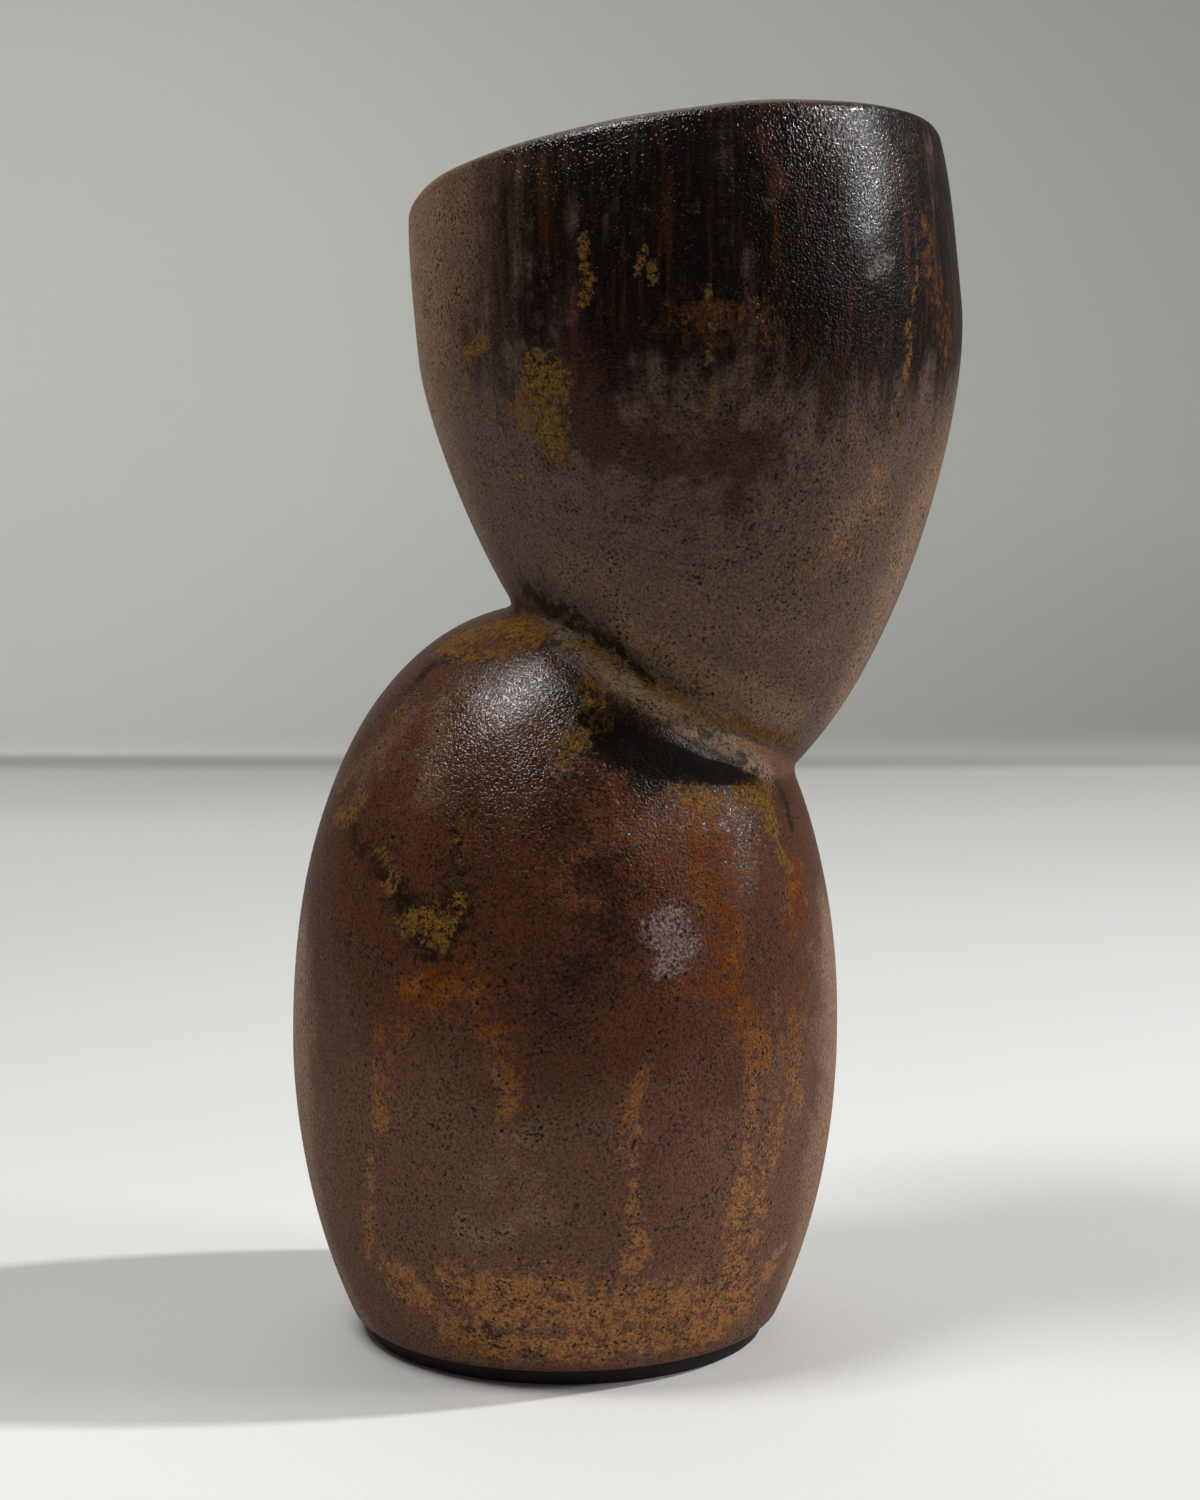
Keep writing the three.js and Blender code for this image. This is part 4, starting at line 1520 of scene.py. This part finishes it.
@dataclass(frozen=True)
class Cup:
    """The pointed cup that leans over: its cone, its band and the rounded lip."""

    wall: float = 6.0
    radius: float = 57.3
    centre_height: float = 210.3
    overhang: float = 26.1
    lean: float = 5.4
    tip_drop: float = 100.0
    tip_power: float = 1.54
    crown_rise: float = 61.2
    crown_power: float = 4.16
    cone_rows: int = 66
    band_rows: int = 22
    rim_height: float = 34.4
    rim_slope: float = 7.6
    rim_front_slope: float = 2.0
    lip_height: float = 4.5
    lip_flat: float = 0.25
    lip_steps: int = 10
    rim_waves: float = 0.35

    def egg(self) -> Egg:
        """The egg shape of the cup."""
        return Egg((self.overhang, 0.0, self.centre_height), self.lean, self.radius, self.crown_rise,
                   self.crown_power, self.tip_drop, self.tip_power, self.wall)

    def middle_cut(self) -> Ring:
        """The plane of the cup's widest ring."""
        slope = math.tan(math.radians(self.lean))
        return Ring(self.overhang, self.centre_height - slope * self.overhang, -slope, 0.0)

    def rim_cut(self) -> Ring:
        """The plane of the slanted rim.

        Returns:
            The plane, as a ring round the cup's leaning axis.
        """
        centre = np.array(self.egg().centre) + self.egg().axis() * self.rim_height
        slope = math.tan(math.radians(self.rim_slope))
        return Ring(centre[0], centre[2] - slope * centre[0], -slope,
                    math.tan(math.radians(self.rim_front_slope)))

    def worn(self, rows: list[np.ndarray], low: Ring) -> list[np.ndarray]:
        """Rows whose height dips a little where the rim was left uneven.

        Args:
            rows: The rows.
            low: The plane from which the dips begin. At the rim they are whole.

        Returns:
            The rows.
        """
        dips = (np.sin(2 * AROUND + 0.6) + np.sin(5 * AROUND + 2.1) + 0.7 * np.sin(9 * AROUND)
                + 0.5 * np.sin(14 * AROUND + 1.0)) / 3.2
        dips = self.rim_waves * (dips - 1.0)
        rim = self.rim_cut()
        done = []
        for row in rows:
            reach = low.above(row) / (low.above(row) - rim.above(row))
            done.append(row + np.stack([0 * dips, 0 * dips, dips * smooth(reach, 0.0, 1.0)], -1))
        return done

    def cone(self, skin: Skin, start: Ring, gap: float) -> Stretch:
        """Rows of the cone, from the collar to the widest ring.

        Args:
            skin: The faces that it follows.
            start: Its lowest ring.
            gap: Width of the seams between pieces.

        Returns:
            The rows.
        """
        rings = start.steps_to(self.middle_cut().lifted(gap / 2), self.cone_rows)
        return Stretch([skin.row(ring, 0.0) for ring in rings],
                       [skin.row(ring, 1.0) for ring in rings[::INNER_EVERY]])

    def band(self, skin: Skin, gap: float) -> Stretch:
        """Rows of the band, from the widest ring to the lip.

        Args:
            skin: The faces that it follows.
            gap: Width of the seams between pieces.

        Returns:
            The rows.
        """
        low = self.middle_cut().lifted(gap / 2)
        rings = low.steps_to(self.rim_cut().lifted(-self.lip_height - gap / 2), self.band_rows)
        return Stretch(self.worn([skin.row(ring, 0.0) for ring in rings], low),
                       self.worn([skin.row(ring, 1.0) for ring in rings[::INNER_EVERY]], low))

    def lip(self, skin: Skin, gap: float) -> Stretch:
        """Rows of the lip, which closes over the wall in a half round.

        Args:
            skin: The faces that it follows.
            gap: Width of the seams between pieces.

        Returns:
            The rows.
        """
        low = self.middle_cut().lifted(gap / 2)
        rim = self.rim_cut()
        rounding = self.wall / 2 - self.lip_flat
        start = rim.lifted(-self.lip_height - gap / 2)
        rings = start.steps_to(rim.lifted(-rounding), 2)[:-1]
        outer = [skin.row(ring, 0.0) for ring in rings]
        inner = [skin.row(ring, 1.0) for ring in rings]
        for i in range(self.lip_steps + 1):
            angle = math.pi / 2 * i / self.lip_steps
            ring = rim.lifted(-rounding * (1 - math.sin(angle)))
            inset = rounding * (1 - math.cos(angle))
            outer.append(skin.row(ring, 0.0, -inset))
            inner.append(skin.row(ring, 1.0, inset))
        return Stretch(self.worn(outer, low), self.worn(inner, low))


@dataclass(frozen=True)
class Marks:
    """Where the glaze follows the vase's form, with painted shade just under the collar and a painted
    highlight along the top of the lip. Spans, in millimetres, are where a mark sets in.
    """

    neck: Ring
    rim: Ring
    neck_centre: float = 17.8
    upper: Span = (5.0, 9.0)
    collar_foot: Span = (-0.6, 2.6)
    collar_top: Span = (5.0, 10.0)
    crease_drop: float = 1.6
    crease_width: float = 2.2
    crease_start: Span = (-12.0, 4.0)
    dark: Span = (176.0, 212.0)
    matte_foot: Span = (42.0, 84.0)
    matte_neck: Span = (-0.5, 1.0)
    matte_cup: Span = (176.0, 198.0)
    lip: Span = (-1.8, -0.4)

    def strengths(self, points: np.ndarray, inside: np.ndarray) -> dict[str, np.ndarray]:
        """Strengths of the marks.

        Args:
            points: Points of the vase, in millimetres.
            inside: 1 for points of the inner faces.

        Returns:
            The strengths, by the name of their attribute.
        """
        x, y, z = points.T
        above = self.neck.above(points)
        outside = 1 - inside
        front = y**2 / (y**2 + (x - self.neck_centre) ** 2 + 1.0) * outside
        collar = smooth(above, *self.collar_foot) * (1 - smooth(above, *self.collar_top))
        # Painted shade just under the collar, right of the axis, strongest front and back.
        crease = np.exp(-((above + self.crease_drop) / self.crease_width) ** 2)
        cone = smooth(above, *self.matte_neck) * (1 - smooth(z, *self.matte_cup))
        return {
            "upper": smooth(above, *self.upper),
            "collar": collar * front,
            "crease": crease * front * smooth(x, *self.crease_start),
            "dark": smooth(z, *self.dark),
            "matte": 1 - smooth(z, *self.matte_foot) + cone,
            # Painted highlight along the top of the lip.
            "lip": smooth(self.rim.above(points), *self.lip) * outside,
        }


@dataclass(frozen=True)
class Vase:
    """The whole vase and the order in which it is put together."""

    foot: Foot = Foot()
    body: Body = Body()
    neck: Neck = Neck()
    cup: Cup = Cup()
    gap: float = 0.3

    def skin(self) -> Skin:
        """The faces that all pieces of the wall follow."""
        return Skin(self.body.egg(), self.cup.egg(), self.neck.cove, Handwork())

    def neck_cut(self) -> Ring:
        """The plane of the slanted neck cut."""
        tip = self.cup.overhang + self.cup.tip_drop * math.tan(math.radians(self.cup.lean))
        return self.neck.cut(tip / 2)

    def build(self) -> None:
        """Builds, paints and places every piece."""
        skin = self.skin()
        cut = self.neck_cut()
        bowl = self.body.bowl(skin, self.gap)
        dome = self.body.dome(skin, cut, self.gap)
        collar = self.neck.collar(skin, cut, self.gap, self.body.smear)
        cone = self.cup.cone(skin, cut.lifted(self.gap * 1.5 + self.neck.collar_height), self.gap)
        band = self.cup.band(skin, self.gap)
        lip = self.cup.lip(skin, self.gap)
        walls = [bowl, dome, collar, cone, band, lip]
        share_normals(walls)

        def wall_at(height: float) -> float:
            """Inner radius of the body's wall at a height, less the joint."""
            ring = Ring(0.0, height)
            return float(skin.lower.radii(ring, np.zeros(1), self.body.wall)[0]) - self.gap

        low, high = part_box("foot_ring")
        axis = ((low.x + high.x) / 2 / MM, (low.y + high.y) / 2 / MM)
        outer = np.concatenate([np.concatenate(wall.outer) for wall in walls])
        marks = Marks(cut, self.cup.rim_cut())
        workshop = Workshop(axis, outer, [*STROKES, *BackRuns().strokes()], marks.strengths)
        glazes = ("body_glaze", "collar_glaze", "cup_glaze", "lip_glaze")
        finishes = {slot: IronGlaze(slot).material() for slot in glazes}
        finishes["bare_clay"] = BareClay("bare_clay").material()
        finishes["foot_glaze"] = DarkFoot("foot_glaze").material()
        slab = self.foot.slab(wall_at(self.foot.height), wall_at(self.foot.height + self.foot.floor))
        pieces = (
            ("foot_ring_turned", "foot_ring", "foot_glaze", self.foot.ring()),
            ("floor_slab_turned", "floor_slab", "bare_clay", slab),
            ("floor_coil_pressed", "floor_seam_coil", "bare_clay", self.foot.seam_coil(wall_at)),
            ("base_bowl_glazed", "base_bowl", "body_glaze", bowl.clay()),
            ("shoulder_dome_glazed", "shoulder_dome", "body_glaze", dome.clay()),
            ("neck_collar_glazed", "neck_collar", "collar_glaze", collar.clay()),
            ("neck_coil_pressed", "neck_seam_coil", "bare_clay", self.neck.seam_coil(skin, cut, self.gap)),
            ("cup_cone_glazed", "cup_cone", "cup_glaze", cone.clay()),
            ("cup_band_glazed", "cup_band", "cup_glaze", band.clay()),
            ("rim_lip_glazed", "rim_lip", "lip_glaze", lip.clay()),
        )
        for name, node, slot, clay in pieces:
            workshop.make(name, node, slot, clay, finishes[slot], slot in glazes)


# Stage


@dataclass(frozen=True)
class Sweep:
    """The pale floor that turns up into the wall behind."""

    front: float = -2.5
    wall: float = 2.17
    turn: float = 0.3
    turn_steps: int = 16
    height: float = 3.2
    half_width: float = 3.5

    def build(self) -> None:
        """Builds the floor and wall as one curved sheet."""
        profile = [(self.front, 0.0), (0.0, 0.0), (self.wall - self.turn, 0.0)]
        for i in range(1, self.turn_steps + 1):
            angle = math.pi / 2 * i / self.turn_steps
            profile.append((self.wall - self.turn + self.turn * math.sin(angle),
                            self.turn * (1 - math.cos(angle))))
        profile.append((self.wall, self.height))
        points = [(x, y, z) for y, z in profile for x in (-self.half_width, self.half_width)]
        faces = [(2 * i, 2 * i + 1, 2 * i + 3, 2 * i + 2) for i in range(len(profile) - 1)]
        mesh = bpy.data.meshes.new("floor_and_wall")
        mesh.from_pydata(points, [], faces)
        mesh.shade_smooth()
        mesh.materials.append(PalePaper().material())
        put("floor_and_wall", mesh)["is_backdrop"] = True
        LOG.info("floor and wall: wall %.2f m behind the vase", self.wall)


@dataclass(frozen=True)
class Lamp:
    """One lamp: a soft square, or a far sun where its width in degrees is given."""

    name: str
    power: float
    azimuth: float
    elevation: float
    distance: float = 1.2
    size: float = 0.34
    aim: Triple = (0.0, 0.0, 0.12)
    sun: float = 0.0

    def towards(self) -> Vector:
        """Unit vector from the vase to the lamp."""
        azimuth, elevation = math.radians(self.azimuth), math.radians(self.elevation)
        return Vector((math.cos(azimuth) * math.cos(elevation), math.sin(azimuth) * math.cos(elevation),
                       math.sin(elevation)))

    def build(self) -> None:
        """Adds the lamp."""
        light = bpy.data.lights.new(self.name, "SUN" if self.sun else "AREA")
        light.energy = self.power
        if self.sun:
            light.angle = math.radians(self.sun)
        else:
            light.shape = "SQUARE"
            light.size = self.size
        lamp = put(self.name, light)
        lamp.location = Vector(self.aim) + self.towards() * self.distance
        lamp.rotation_euler = self.towards().to_track_quat("Z", "Y").to_euler()


@dataclass(frozen=True)
class Studio:
    """Camera, lamps and surroundings, as the photograph was lit."""

    camera_place: Triple = (-0.005083, -0.4686, 0.14984)
    camera_pitch: float = 3.25
    lens: float = 52.8
    sensor_width: float = 36.0
    nearest: float = 0.01
    world: float = 0.06
    lamps: tuple[Lamp, ...] = (
        Lamp("key", 1.68, 5.0, 43.3, sun=3.0),
        Lamp("overhead", 7.0, -150.0, 64.0),
        Lamp("back_top", 5.5, 100.0, 68.0, 2.0, 1.6, (0.0, 0.0, 0.0)),
        Lamp("right_strip", 4.0, -9.0, 23.0, aim=(0.02, 0.0, 0.2)),
        Lamp("wall_wash", 5.5, -117.1, 17.5, 1.5, 0.4, (-0.35, 2.17, 0.26)),
    )

    def build(self) -> None:
        """Builds the stage round the vase."""
        Sweep().build()
        for lamp in self.lamps:
            lamp.build()
        self.surroundings()
        self.camera()

    def surroundings(self) -> None:
        """Gives the air an even pale light."""
        world = bpy.data.worlds.new("air")
        world.use_nodes = True
        world.node_tree.nodes["Background"].inputs["Color"].default_value = (*[self.world] * 3, 1.0)
        bpy.context.scene.world = world
        bpy.context.scene.view_settings.view_transform = "Standard"

    def camera(self) -> None:
        """Sets up the camera at the photograph's place."""
        camera = bpy.data.cameras.new("camera")
        camera.lens = self.lens
        camera.sensor_width = self.sensor_width
        camera.clip_start = self.nearest
        viewer = put("camera", camera)
        viewer.location = self.camera_place
        viewer.rotation_euler = (math.radians(90 - self.camera_pitch), 0.0, 0.0)
        bpy.context.scene.camera = viewer


def corners(box: Iterable[Iterable[float]]) -> list[list[float]]:
    """A box's corners as plain lists of numbers."""
    return [[float(part) for part in corner] for corner in box]


def main() -> None:
    """Loads the frame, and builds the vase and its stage."""
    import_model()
    solids = corners(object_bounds())
    Vase().build()
    Studio().build()
    shown = corners(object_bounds())
    LOG.info("CAD box %s, visual box %s", solids, shown)


if __name__ == "__main__":
    logging.basicConfig(level=logging.INFO, format="%(name)s: %(message)s")
    main()
